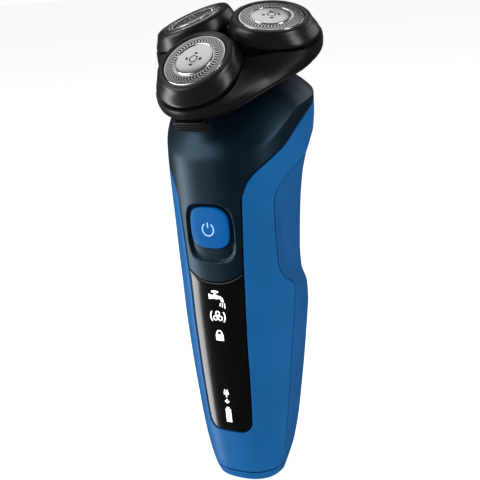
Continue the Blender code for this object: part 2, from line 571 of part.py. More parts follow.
def pods():
    for tag, angle in PODS:
        m = pod_matrix(angle)
        lip = GUARD_R + GAP
        ring = [(lip, 0.0, 0), (lip + 0.4, 0.1, 0), (POD_TOP_R - 0.5, -0.15, 0), (POD_TOP_R, -0.8, 0), (POD_FLANK_R, -POD_FLANK_H, POD_SPREAD),
                (SKIRT_R, -POD_FLANK_H, 0), (SKIRT_R, -SKIRT_H, 0), (SKIRT_R - SKIRT_WALL, -SKIRT_H, 0), (SKIRT_R - SKIRT_WALL, -2.3, 0), (lip, -2.3, 0)]
        loops = []
        for r, z, spread in ring:
            turns = [2 * math.pi * k / 28 for k in range(28)]
            wide = [r + spread * (1 - smooth(40, 105, abs(math.degrees(math.remainder(t, 2 * math.pi))))) for t in turns]
            loops.append([(w * math.cos(t), w * math.sin(t), z) for w, t in zip(wide, turns)])
        rings("pod_ring_" + tag, loops, True, m)
        g, t = GUARD_R, GUARD_T
        lathe("guard_" + tag, [(g, -2.7), (g, -0.35), (g - 0.35, 0.0), (g * 0.67, 0.22), (g * 0.64, -0.02), (g * 0.605, 0.26), (g * 0.3, 0.5), (0.3, 0.55),
                               (0.3, 0.55 - t), (g * 0.6, -0.35), (g - 0.85, -0.55), (g - 0.85, -3.3), (g + 0.5, -3.3), (g + 0.5, -2.7)], 24, True, m)
        loops = []
        n = 36

        def star(k, big, small):
            return big if (k % 4) in (0, 1) else small
        for z, big, small in ((-8.4, CUTTER_HUB_R, CUTTER_HUB_R), (-3.9, CUTTER_HUB_R, CUTTER_HUB_R), (-3.3, CUTTER_R - 0.4, CUTTER_R - 0.4), (-2.6, CUTTER_R - 0.2, CUTTER_R - 0.2), (-2.4, CUTTER_R, 0.61 * CUTTER_R), (-0.9, CUTTER_R, 0.61 * CUTTER_R)):
            loops.append([(star(k, big, small) * math.cos(2 * math.pi * k / n), star(k, big, small) * math.sin(2 * math.pi * k / n), z) for k in range(n)])
        cutter = rings("cutter_" + tag, loops, False, m)
        combine(cutter, lathe("tool", [(BALL_R + 0.75, -12.0), (BALL_R + 0.75, -4.6)], 18, False, m))
        lathe("retainer_" + tag, [(SKIRT_R - SKIRT_WALL - GAP, -5.0), (SKIRT_R - SKIRT_WALL - GAP, -4.3), (CUTTER_HUB_R + 0.8, -4.3), (CUTTER_HUB_R + 0.8, -5.0)], 24, True, m)


def release_button():
    """Ribbed tab under the front pod, with the stem that its spring pushes on."""
    ribs = [(0.0, 13.9), (-0.4, 14.5), (0.2, 15.0), (-0.1, 15.6), (0.5, 16.1), (0.3, 16.7), (1.0, 17.2), (1.2, 17.9)]
    pts = [(TAB_V + v, -h) for v, h in ribs] + [(TAB_V + 4.0, -17.9), (TAB_V + 4.0, -15.7), (TAB_V + 2.2, -15.7), (TAB_V + 2.2, -13.9)]
    tab = rings("release_button", [[(-TAB_W, v, h) for v, h in pts], [(TAB_W, v, h) for v, h in pts]], False, HEAD)
    back = -NECK_R - 1.0
    front = TAB_V + 3.4
    stem = box("tool", (0, 0.5 * (front + back), -16.55), (6.0, back - front, 1.3), HEAD)
    return combine(tab, stem, "UNION")


# ---------------------------------------------------------------- finish
# start of the name, material, colour, roughness, metallic
FINISHES = (
    ("body_shell", "blue_shell", (0.002, 0.100, 0.310), 0.40, 0.0),
    ("base_cap", "blue_foot", (0.002, 0.100, 0.310), 0.40, 0.0),
    ("rear_grip", "blue_grip", (0.001, 0.088, 0.275), 0.50, 0.0),
    ("power_button", "blue_key", (0.001, 0.090, 0.320), 0.36, 0.0),
    ("front_panel", "navy_panel", (0.002, 0.008, 0.015), 0.40, 0.0),
    ("display_window", "black_lens", (0.002, 0.002, 0.002), 0.08, 0.0),
    ("head_", "black_head", (0.006, 0.006, 0.006), 0.34, 0.0),
    ("pod_ring_", "black_pod", (0.007, 0.007, 0.007), 0.30, 0.0),
    ("release_button", "black_tab", (0.006, 0.006, 0.006), 0.34, 0.0),
    ("guard_", "guard_steel", (0.800, 0.800, 0.810), 0.20, 1.0),
    ("cutter_", "cutter_steel", (0.620, 0.620, 0.630), 0.28, 1.0),
    ("retainer_", "grey_plastic", (0.220, 0.220, 0.230), 0.42, 0.0),
    ("drive_gear_", "gear_plastic", (0.620, 0.580, 0.480), 0.38, 0.0),
    ("central_gear", "gear_plastic", (0.620, 0.580, 0.480), 0.38, 0.0),
    ("charge_pin_", "plated_pin", (0.830, 0.660, 0.330), 0.20, 1.0),
    ("charge_socket", "black_socket", (0.010, 0.010, 0.011), 0.45, 0.0),
    ("motor_frame", "black_seat", (0.010, 0.010, 0.011), 0.45, 0.0),
    ("motor", "motor_steel", (0.550, 0.550, 0.560), 0.30, 1.0),
    ("battery", "cell_sleeve", (0.020, 0.220, 0.110), 0.25, 0.0),
    ("main_board", "board_lacquer", (0.004, 0.050, 0.018), 0.32, 0.0),
    ("display_board", "board_lacquer", (0.004, 0.050, 0.018), 0.32, 0.0),
    ("", "plain_steel", (0.500, 0.500, 0.510), 0.32, 1.0),
)
SMOOTH_ANGLE = 30.0


def material(name, colour, roughness, metallic):
    """A Principled material of this name, made once."""
    if name in bpy.data.materials:
        return bpy.data.materials[name]
    made = bpy.data.materials.new(name)
    made.use_nodes = True
    shader = made.node_tree.nodes["Principled BSDF"].inputs
    shader["Base Color"].default_value = (*colour, 1.0)
    shader["Roughness"].default_value = roughness
    shader["Metallic"].default_value = metallic
    return made


def pivots():
    """Where each moving piece's joint is: start of the name and a point on its axis."""
    points = [("power_button", Vector((0, table(FRONT, BUTTON_Z), BUTTON_Z))),
              ("release_button", HEAD @ Vector((0, TAB_V, -FRAME_H0))),
              ("head_lid", HEAD @ Vector((0, HINGE_V, -HINGE_H))),
              ("central_gear", HEAD @ Vector((0, 0, -GEAR_H0))), ("drive_shaft", HEAD @ Vector((0, 0, -GEAR_H0)))]
    for tag, angle in PODS:
        a, pod = math.radians(angle), pod_matrix(angle)
        ball = pod @ Vector((0, 0, -BALL_DEPTH))
        axle = HEAD @ Vector((AXIS_DIST * math.cos(a), AXIS_DIST * math.sin(a), -GEAR_H0))
        points += [(start + tag, ball) for start in ("pod_ring_", "guard_", "retainer_")]
        points += [("cutter_" + tag, pod.translation), ("drive_gear_" + tag, axle), ("spindle_" + tag, axle)]
    return points


def finish(obj):
    """To metres, with the origin on the piece's joint, a material and smooth round sides."""
    at = next((p for start, p in pivots() if obj.name == start), Vector())
    obj.data.transform(Matrix.Scale(MM, 4) @ Matrix.Translation(-at))
    obj.location = MM * at
    obj.data.materials.clear()
    obj.data.materials.append(next(material(*look) for start, *look in FINISHES if obj.name.startswith(start)))
    obj.data.shade_smooth()
    obj.data.set_sharp_from_angle(angle=math.radians(SMOOTH_ANGLE))


def build():
    for obj in list(bpy.data.objects):
        bpy.data.objects.remove(obj, do_unlink=True)
    body_shell()
    grip_solid("rear_grip", 0.0, 0.0, GRIP_T)
    front_panel()
    display_window()
    power_button()
    handle_insides()
    foot()
    drive()
    head_lid()
    head_base()
    lathe("hinge_pin", [(HINGE_PIN_R, -9.6), (HINGE_PIN_R, 9.6)], 24, False, hinge_matrix())
    pods()
    release_button()
    for obj in list(bpy.data.objects):
        finish(obj)


build()
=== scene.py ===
"""Visual model of a rotary electric shaver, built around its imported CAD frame.

Shapes are worked out in millimetres with numpy and put into meshes in metres.
The handle's skin, the head's outline and the pods' profiles follow the same
laws as the CAD solids, drawn finer and with rounded edges.
"""

import logging
import math
from dataclasses import dataclass, field
from enum import Enum
from typing import Any, Callable, Sequence

import bmesh
import bpy
import numpy as np
from mathutils import Matrix, Vector


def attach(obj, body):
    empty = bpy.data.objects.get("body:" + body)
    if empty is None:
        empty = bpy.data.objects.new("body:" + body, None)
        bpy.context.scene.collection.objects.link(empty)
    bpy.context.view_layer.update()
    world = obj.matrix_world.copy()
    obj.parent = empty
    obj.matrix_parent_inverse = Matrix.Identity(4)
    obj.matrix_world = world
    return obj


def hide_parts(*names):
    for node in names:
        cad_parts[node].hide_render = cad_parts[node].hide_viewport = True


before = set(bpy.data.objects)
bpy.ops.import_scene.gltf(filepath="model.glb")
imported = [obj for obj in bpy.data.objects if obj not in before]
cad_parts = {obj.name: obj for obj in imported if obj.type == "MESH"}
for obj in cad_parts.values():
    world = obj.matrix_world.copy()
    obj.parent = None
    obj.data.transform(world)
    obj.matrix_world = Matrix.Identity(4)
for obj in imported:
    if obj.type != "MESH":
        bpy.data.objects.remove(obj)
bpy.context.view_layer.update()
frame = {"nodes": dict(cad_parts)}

LOG = logging.getLogger("shaver")
MM = 0.001
Array = np.ndarray


# ------------------------------------------------------------------ numbers
def smooth(a: float, b: float, x: Any) -> Array:
    """Eased step: 0 before a, 1 after b, three t squared less two t cubed between."""
    t = np.clip((np.asarray(x, float) - a) / (b - a), 0.0, 1.0)
    return t * t * (3 - 2 * t)


def signed_power(x: Array, e: float) -> Array:
    """|x| to the power e, with the sign of x."""
    return np.copysign(np.abs(x) ** e, x)


def rounding(distance: Any, radius: float) -> Array:
    """How far a rounded edge falls below the surface at a distance from its rim.

    Formula: r - sqrt(r^2 - (r - d)^2) for d under r, and 0 beyond.
    """
    short = radius - np.clip(distance, 0.0, radius)
    return radius - np.sqrt(np.maximum(radius * radius - short * short, 0.0))


def rim_steps(radius: float, count: int = 5) -> Array:
    """Distances from a rim that step evenly round a quarter circle of that radius."""
    turn = np.linspace(0.0, math.pi / 2, count)
    return radius * (1 - np.cos(turn))


def spaced(length: Any, count: int, head: float = 0.0, tail: float = 0.0) -> Array:
    """Positions from 0 to each length, packed close within head and tail of the ends.

    Args:
        length: one length or an array of them, in millimetres.
        count: how many even steps lie in the middle.
        head: rounding radius at the start, or 0.
        tail: rounding radius at the end, or 0.
    Returns:
        An array with one more axis than length, the positions along it.
    """
    length = np.asarray(length, float)[..., None]
    shape = length.shape[:-1]
    start = rim_steps(head) if head else np.zeros(1)
    end = rim_steps(tail)[::-1] if tail else np.zeros(1)
    middle = head + (length - head - tail) * np.linspace(0, 1, count + 1)[1:-1]
    return np.concatenate(
        [np.broadcast_to(start, shape + start.shape), middle,
         length - np.broadcast_to(end, shape + end.shape)], axis=-1)


@dataclass(frozen=True)
class Curve:
    """A smooth monotone curve through points, by Hermite pieces with harmonic slopes."""

    points: tuple[tuple[float, float], ...]

    def __call__(self, x: Any) -> Array:
        """The curve's height at x, held level beyond its ends."""
        xs, ys = np.array(self.points).T
        step, rise = np.diff(xs), np.diff(ys)
        secant = rise / step
        a, b = secant[:-1], secant[1:]
        inner = np.where(a * b > 0, 2 * a * b / np.where(a + b == 0, 1, a + b), 0.0)
        slope = np.concatenate([secant[:1], inner, secant[-1:]])
        x = np.clip(np.asarray(x, float), xs[0], xs[-1])
        k = np.clip(np.searchsorted(xs, x, "right") - 1, 0, len(xs) - 2)
        h = step[k]
        t = (x - xs[k]) / h
        return ((1 + 2 * t) * (1 - t) ** 2 * ys[k] + t * (1 - t) ** 2 * h * slope[k]
                + t * t * (3 - 2 * t) * ys[k + 1] + t * t * (t - 1) * h * slope[k + 1])


@dataclass(frozen=True)
class Place:
    """A frame in space: origin in millimetres and three unit axes as rows."""

    origin: Array
    axes: Array

    def __call__(self, points: Array) -> Array:
        """Local points in the shared frame: the origin plus each coordinate times its axis."""
        return np.asarray(points, float) @ self.axes + self.origin


# ------------------------------------------------------------------ meshes
@dataclass
class Solid:
    """One closed mesh put together from grids of points, in millimetres."""

    points: list[Array] = field(default_factory=list)
    quads: list[Array] = field(default_factory=list)
    marks: list[Array] = field(default_factory=list)
    size: int = 0

    def grid(self, p: Array, around: bool = False, closed: bool = False,
             mark: Array | None = None) -> "Solid":
        """Adds a grid of points and the quads between them.

        Args:
            p: (rows, columns, 3) points.
            around: the last column joins the first.
            closed: the last row joins the first.
            mark: one number a point for the mesh's mark attribute.
        Returns:
            This solid.
        """
        rows, columns = p.shape[:2]
        index = numbered(rows, columns, self.size)
        if around:
            index = np.concatenate([index, index[:, :1]], 1)
        if closed:
            index = np.concatenate([index, index[:1]], 0)
        self.points.append(p.reshape(-1, 3))
        self.quads.append(quads_of(index))
        self.marks.append(np.zeros(rows * columns) if mark is None else mark.reshape(-1))
        self.size += rows * columns
        return self

    def plate(self, blocks: Sequence[tuple[Array, Array]], mirrored: bool = False) -> "Solid":
        """Adds a closed plate: an outer and an inner skin, walled along their open edges.

        Each block is a pair of equal grids, its outer and its inner points. Blocks
        that share a border join there. mirrored adds each block's image in x.
        An open edge is one that only a single quad uses.
        """
        outer, inner, quads, size = [], [], [], 0
        for a, b in blocks:
            for side in ((1, -1) if mirrored else (1,)):
                rows, columns = a.shape[:2]
                index = numbered(rows, columns, size)
                quads.append(quads_of(index[:, ::side]))
                outer.append((a * (side, 1, 1)).reshape(-1, 3))
                inner.append((b * (side, 1, 1)).reshape(-1, 3))
                size += rows * columns
        top, low, q = np.concatenate(outer), np.concatenate(inner), np.concatenate(quads)
        _, first, back = np.unique(np.round(top, 3), axis=0, return_index=True,
                                   return_inverse=True)
        top, low, q = top[first], low[first], back.reshape(-1)[q]
        edges = np.concatenate([q[:, [i, (i + 1) % 4]] for i in range(4)])
        edges = edges[edges[:, 0] != edges[:, 1]]
        key = np.sort(edges, 1)
        _, where, count = np.unique(key, axis=0, return_inverse=True, return_counts=True)
        rim = edges[count[where.reshape(-1)] == 1]
        n = len(top)
        wall = np.stack([rim[:, 1], rim[:, 0], rim[:, 0] + n, rim[:, 1] + n], 1)
        self.points += [top, low]
        self.marks += [np.zeros(2 * n)]
        self.quads += [q + self.size, q[:, ::-1] + n + self.size, wall + self.size]
        self.size += 2 * n
        return self

    def build(self, name: str, crease: float = 32.0, merge: float = 0.0015) -> bpy.types.Object:
        """Makes the object: doubles merged, faces outwards, shaded smooth under a crease angle."""
        mesh = bpy.data.meshes.new(name)
        mesh.from_pydata((np.concatenate(self.points) * MM).tolist(), [],
                         np.concatenate(self.quads).tolist())
        mark = mesh.attributes.new("mark", "FLOAT", "POINT")
        mark.data.foreach_set("value", np.concatenate(self.marks).astype(np.float32))
        tidy_mesh(mesh, merge * MM)
        finish_shading(mesh, crease)
        obj = bpy.data.objects.new(name, mesh)
        bpy.context.scene.collection.objects.link(obj)
        return obj


def numbered(rows: int, columns: int, start: int) -> Array:
    """The point numbers of a grid, counted from start."""
    return np.arange(rows * columns).reshape(rows, columns) + start


def quads_of(index: Array) -> Array:
    """The quads between the points of a grid of point numbers."""
    corners = [index[:-1, :-1], index[:-1, 1:], index[1:, 1:], index[1:, :-1]]
    return np.stack(corners, -1).reshape(-1, 4)


def tidy_mesh(mesh: bpy.types.Mesh, merge: float) -> None:
    """Merges doubles, drops flat slivers and turns the faces outwards."""
    bm = bmesh.new()
    bm.from_mesh(mesh)
    bmesh.ops.remove_doubles(bm, verts=bm.verts, dist=merge)
    bmesh.ops.dissolve_degenerate(bm, edges=bm.edges, dist=merge * 0.2)
    bmesh.ops.recalc_face_normals(bm, faces=bm.faces)
    bm.to_mesh(mesh)
    bm.free()


def finish_shading(mesh: bpy.types.Mesh, crease: float) -> None:
    """Smooth shading, sharp only across edges that turn more than crease degrees."""
    mesh.shade_smooth()
    mesh.set_sharp_from_angle(angle=math.radians(crease))


def applied(obj: bpy.types.Object, crease: float = 32.0) -> bpy.types.Object:
    """The object with its modifiers worked into its mesh."""
    graph = bpy.context.evaluated_depsgraph_get()
    mesh = bpy.data.meshes.new_from_object(obj.evaluated_get(graph))
    obj.modifiers.clear()
    old, obj.data = obj.data, mesh
    name = old.name
    bpy.data.meshes.remove(old)
    mesh.name = name
    finish_shading(mesh, crease)
    return obj


def cut(obj: bpy.types.Object, tools: Sequence[bpy.types.Object]) -> bpy.types.Object:
    """Cuts tools out of an object, and removes the tools."""
    for tool in tools:
        modifier = obj.modifiers.new(tool.name, "BOOLEAN")
        modifier.operation, modifier.solver, modifier.object = "DIFFERENCE", "EXACT", tool
    applied(obj)
    for tool in tools:
        bpy.data.objects.remove(tool, do_unlink=True)
    return obj


def eased(obj: bpy.types.Object, width: float, angle: float) -> bpy.types.Object:
    """Rounds the edges that turn more than angle degrees by width millimetres."""
    modifier = obj.modifiers.new("round", "BEVEL")
    modifier.width, modifier.segments = width * MM, 2
    modifier.limit_method, modifier.angle_limit = "ANGLE", math.radians(angle)
    modifier.harden_normals = False
    modifier.use_clamp_overlap = True
    return applied(obj, 40.0)


def turned(profile: Sequence[tuple[float, float]], segments: int = 96) -> Array:
    """Rings of a lathe: each (r, z) of the profile turned about the z axis.

    Formula: point = (r cos a, r sin a, z) for even angles a.
    """
    rz = np.array(profile, float)
    a = np.linspace(0, 2 * math.pi, segments, endpoint=False)
    return np.stack([rz[:, :1] * np.cos(a), rz[:, :1] * np.sin(a),
                     np.repeat(rz[:, 1:], segments, 1)], -1)


def rounded_profile(points: Sequence[tuple[float, float]], radius: float,
                    steps: int = 4) -> Array:
    """A closed polygon with each corner rounded by a curve tangent to both its sides.

    Formula: a quadratic arc from the point a radius before the corner to the point
    a radius after it, with the corner as its control point; short sides use under
    half their length.
    """
    p = np.array(points, float)
    before, after = np.roll(p, 1, 0) - p, np.roll(p, -1, 0) - p
    la = np.linalg.norm(before, axis=1, keepdims=True)
    lb = np.linalg.norm(after, axis=1, keepdims=True)
    start = p + before / la * np.minimum(radius, 0.42 * la)
    end = p + after / lb * np.minimum(radius, 0.42 * lb)
    t = np.linspace(0, 1, steps)[None, :, None]
    arc = (1 - t) ** 2 * start[:, None] + 2 * t * (1 - t) * p[:, None] + t * t * end[:, None]
    return arc.reshape(-1, 2)


def turned_ring(name: str, profile: Sequence[tuple[float, float]], place: Place,
                radius: float) -> bpy.types.Object:
    """A ring turned from a closed profile whose corners have a radius."""
    rings = place(turned(rounded_profile(profile, radius), 144))
    return Solid().grid(rings, around=True, closed=True).build(name)


def turned_tool(name: str, profile: Sequence[tuple[float, float]], place: Place,
                segments: int = 144) -> bpy.types.Object:
    """A solid turned from an open profile that starts and ends on the axis."""
    return Solid().grid(place(turned(profile, segments)), around=True).build(name)


# ------------------------------------------------------------------ shaders
class Value:
    """A number in a shader; arithmetic on it adds Math nodes."""

    def __init__(self, tree: "Tree", socket: Any) -> None:
        """Keeps the socket and the tree it belongs to."""
        self.tree, self.socket = tree, socket

    def _math(self, how: str, *others: Any) -> "Value":
        """A Math node on this value and others."""
        node = self.tree.add("ShaderNodeMath", {"operation": how},
                             dict(enumerate((self, *others))))
        return Value(self.tree, node.outputs[0])

    def __add__(self, other: Any) -> "Value":
        """Sum."""
        return self._math("ADD", other)

    def __mul__(self, other: Any) -> "Value":
        """Product."""
        return self._math("MULTIPLY", other)

    def __sub__(self, other: Any) -> "Value":
        """Difference."""
        return self._math("SUBTRACT", other)

    def __rsub__(self, other: Any) -> "Value":
        """Difference from a number."""
        return self.tree.number(other)._math("SUBTRACT", self)

    def __truediv__(self, other: Any) -> "Value":
        """Quotient."""
        return self._math("DIVIDE", other)

    __radd__, __rmul__ = __add__, __mul__

    def power(self, other: Any) -> "Value":
        """This value to a power."""
        return self._math("POWER", other)

    def sine(self) -> "Value":
        """Sine of the value in radians."""
        return self._math("SINE")

    def size(self) -> "Value":
        """Absolute value."""
        return self._math("ABSOLUTE")

    def wave(self, pitch: float) -> "Value":
        """A sine of this length with the given pitch, from -1 to 1."""
        return (self * (2 * math.pi / pitch)).sine()

    def step(self, low: float, high: float) -> "Value":
        """0 below low, 1 above high, smooth between."""
        node = self.tree.add("ShaderNodeMapRange", {"interpolation_type": "SMOOTHSTEP"},
                             {"Value": self, "From Min": low, "From Max": high})
        return Value(self.tree, node.outputs["Result"])


class Tree:
    """The node tree of a material or a world."""

    def __init__(self, owner: bpy.types.Material | bpy.types.World,
                 output: str = "ShaderNodeOutputMaterial") -> None:
        """Empties the owner's tree and adds its output."""
        self.owner = owner
        owner.use_nodes = True
        self.nodes, self.links = owner.node_tree.nodes, owner.node_tree.links
        self.nodes.clear()
        self.output = self.add(output)

    def add(self, kind: str, settings: dict[str, Any] | None = None,
            sockets: dict[Any, Any] | None = None) -> bpy.types.Node:
        """Adds a node.

        Args:
            kind: the node's type.
            settings: its properties; stops is a ramp's list of (place, colour).
            sockets: values or links for its inputs, by name or number.
        Returns:
            The node.
        """
        node = self.nodes.new(kind)
        for key, value in (settings or {}).items():
            if key == "stops":
                ramp = node.color_ramp.elements
                while len(ramp) < len(value):
                    ramp.new(1.0)
                for element, (place, colour) in zip(ramp, value):
                    element.position, element.color = place, (*colour, 1.0)
            else:
                setattr(node, key, value)
        for key, value in (sockets or {}).items():
            value = value.socket if isinstance(value, Value) else value
            if isinstance(value, bpy.types.NodeSocket):
                self.links.new(value, node.inputs[key])
            elif node.inputs[key].type == "RGBA":
                node.inputs[key].default_value = (*value, 1.0)
            else:
                node.inputs[key].default_value = value
        return node

    def number(self, x: float) -> Value:
        """A plain number as a value."""
        node = self.add("ShaderNodeValue")
        node.outputs[0].default_value = x
        return Value(self, node.outputs[0])

    def place(self) -> bpy.types.NodeSocket:
        """Object coordinates, in metres."""
        return self.add("ShaderNodeTexCoord").outputs["Object"]

    def axes(self) -> tuple[Value, Value, Value]:
        """The three Object coordinates as values, in millimetres."""
        node = self.add("ShaderNodeSeparateXYZ", sockets={0: self.place()})
        return tuple(Value(self, s) * 1000.0 for s in node.outputs)

    def noise(self, per_mm: float, detail: float = 2.0, stretch: Sequence[float] = (1, 1, 1),
              roughness: float = 0.5) -> Value:
        """Noise from 0 to 1, with this many features a millimetre."""
        mapped = self.add("ShaderNodeMapping", sockets={
            "Vector": self.place(), "Scale": tuple(1000.0 * per_mm * s for s in stretch)})
        node = self.add("ShaderNodeTexNoise", sockets={
            "Vector": mapped.outputs[0], "Scale": 1.0, "Detail": detail, "Roughness": roughness})
        return Value(self, node.outputs["Fac"])

    def mark(self) -> Value:
        """The mesh's own mark attribute."""
        return Value(self, self.add("ShaderNodeAttribute", {"attribute_name": "mark"})
                     .outputs["Fac"])

    def blend(self, share: Any, a: Any, b: Any) -> bpy.types.NodeSocket:
        """Colour a turned into colour b by share."""
        node = self.add("ShaderNodeMix", {"data_type": "RGBA"}, {0: share, 6: a, 7: b})
        return node.outputs[2]

    def mix(self, share: Any, a: Any, b: Any) -> Value:
        """Number a turned into number b by share."""
        node = self.add("ShaderNodeMix", {"data_type": "FLOAT"}, {0: share, 2: a, 3: b})
        return Value(self, node.outputs[0])

    def bump(self, height: Value, depth_mm: float) -> bpy.types.NodeSocket:
        """A normal from a height of 0 to 1 that is this deep."""
        node = self.add("ShaderNodeBump", sockets={
            "Height": height, "Distance": depth_mm * MM, "Strength": 1.0})
        return node.outputs[0]

    def surface(self, **sockets: Any) -> bpy.types.Material:
        """Ends the material in a Principled shader; names use _ for spaces."""
        names = {k.replace("_", " "): v for k, v in sockets.items()}
        shader = self.add("ShaderNodeBsdfPrincipled", sockets=names)
        self.links.new(shader.outputs[0], self.output.inputs[0])
        return self.owner


@dataclass(frozen=True)
class Moulding:
    """Moulded plastic: fine spark-eroded grain, slow colour drift, a tinted gloss."""

    name: str
    colour: tuple[float, float, float]
    rough: float = 0.36
    grain: float = 0.010
    grain_per_mm: float = 3.0
    drift: float = 0.10
    ior: float = 1.5
    tint: tuple[float, float, float] = (1.0, 1.0, 1.0)

    def make(self) -> bpy.types.Material:
        """The material: colour drifts slowly, roughness and bump follow a fine grain."""
        t = Tree(bpy.data.materials.new(self.name))
        slow, fine = t.noise(0.05, 3.0), t.noise(self.grain_per_mm, 3.0)
        dark = tuple(c * (1 - self.drift) for c in self.colour)
        light = tuple(min(1.0, c * (1 + self.drift)) for c in self.colour)
        return t.surface(
            Base_Color=t.blend(slow.step(0.3, 0.7), dark, light),
            Roughness=(fine - 0.5) * 0.10 + (slow - 0.5) * 0.06 + self.rough,
            Normal=t.bump(fine, self.grain), IOR=self.ior,
            Specular_Tint=self.tint)


@dataclass(frozen=True)
class Metal:
    """Metal with a fine brushed or blasted surface."""

    name: str
    colour: tuple[float, float, float]
    rough: float = 0.25
    grain: float = 0.004
    stretch: tuple[float, float, float] = (1.0, 1.0, 1.0)

    def make(self) -> bpy.types.Material:
        """The material: roughness and bump follow a fine stretched noise."""
        t = Tree(bpy.data.materials.new(self.name))
        slow, fine = t.noise(0.12, 2.0), t.noise(2.5, 3.0, self.stretch)
        dark = tuple(c * 0.88 for c in self.colour)
        return t.surface(
            Base_Color=t.blend(slow.step(0.25, 0.75), dark, self.colour), Metallic=1.0,
            Roughness=(fine - 0.5) * 0.16 + self.rough, Normal=t.bump(fine, self.grain))


@dataclass(frozen=True)
class SlottedSteel:
    """Shaving foil steel: polished, painted near-black as painted shade where the mark attribute marks
    slots, nicks and grooves.
    """

    name: str
    colour: tuple[float, float, float] = (0.80, 0.80, 0.81)

    def make(self) -> bpy.types.Material:
        """The material: steel that the slot mark turns to a near-black, rough painted shade, which
        stands for the shade inside the slots.
        """
        t = Tree(bpy.data.materials.new(self.name))
        # painted shade: hollow is the share of near-black painted in for the shade inside the slots
        # and grooves
        hollow = t.mark().step(0.25, 0.75)
        fine = t.noise(2.0, 3.0)
        return t.surface(
            Base_Color=t.blend(hollow, self.colour, (0.012, 0.012, 0.013)),
            Metallic=1.0 - hollow * 0.7,
            Roughness=hollow * 0.35 + (fine - 0.5) * 0.12 + 0.2,
            Normal=t.bump(fine, 0.003))


@dataclass(frozen=True)
class Lens:
    """Black gloss display lens with a faint smoke drift and hair-fine wipe marks."""

    name: str

    def make(self) -> bpy.types.Material:
        """The material: near-black gloss under a clear coat."""
        t = Tree(bpy.data.materials.new(self.name))
        slow, fine = t.noise(0.08, 2.0), t.noise(1.2, 4.0, (1.0, 1.0, 0.1))
        return t.surface(
            Base_Color=t.blend(slow, (0.0008, 0.0008, 0.001), (0.0016, 0.0016, 0.0018)),
            Roughness=fine * 0.06 + 0.16, Coat_Weight=0.3, Coat_Roughness=0.05,
            Normal=t.bump(slow, 0.004))


@dataclass(frozen=True)
class Lamp:
    """A lit symbol: a glow that is a little uneven, as a light guide's is; on the key's power sign,
    which is no lamp, the glow is painted light.
    """

    name: str
    colour: tuple[float, float, float]
    power: float

    def make(self) -> bpy.types.Material:
        """The material: emission through a milky surface."""
        t = Tree(bpy.data.materials.new(self.name))
        slow = t.noise(0.6, 2.0)
        tint = t.blend(slow, tuple(c * 0.9 for c in self.colour), self.colour)
        return t.surface(Base_Color=tint, Emission_Color=tint,
                         Emission_Strength=self.power, Roughness=slow * 0.1 + 0.35)


@dataclass(frozen=True)
class Circuit:
    """Green board lacquer over copper tracks."""

    name: str

    def make(self) -> bpy.types.Material:
        """The material: tracks run up the board with crossings, pads are gold."""
        t = Tree(bpy.data.materials.new(self.name))
        x, _, z = t.axes()
        track = (x.wave(1.6).step(0.55, 0.75)) * (1.0 - z.wave(13.0).step(0.9, 0.95))
        pad = x.wave(3.1).step(0.93, 0.96) * z.wave(4.3).step(0.93, 0.96)
        green = t.blend(track, (0.004, 0.05, 0.018), (0.010, 0.13, 0.05))
        return t.surface(Base_Color=t.blend(pad, green, (0.55, 0.36, 0.09)),
                         Metallic=pad * 0.9, Roughness=t.noise(1.0) * 0.1 + 0.32,
                         Normal=t.bump(track, 0.03))


@dataclass(frozen=True)
class Wrapper:
    """The cell's shrink sleeve: plain green film with a lighter band at each end."""

    name: str

    def make(self) -> bpy.types.Material:
        """The material: two-tone film, glossy, with fine shrink lines."""
        t = Tree(bpy.data.materials.new(self.name))
        _, _, z = t.axes()
        band = 1.0 - (z - 37.5).size().step(21.0, 21.4)
        lines = t.noise(1.5, 3.0, (0.2, 0.2, 2.0))
        return t.surface(Base_Color=t.blend(band, (0.42, 0.43, 0.42), (0.02, 0.22, 0.11)),
                         Roughness=lines * 0.1 + 0.25, Normal=t.bump(lines, 0.01))


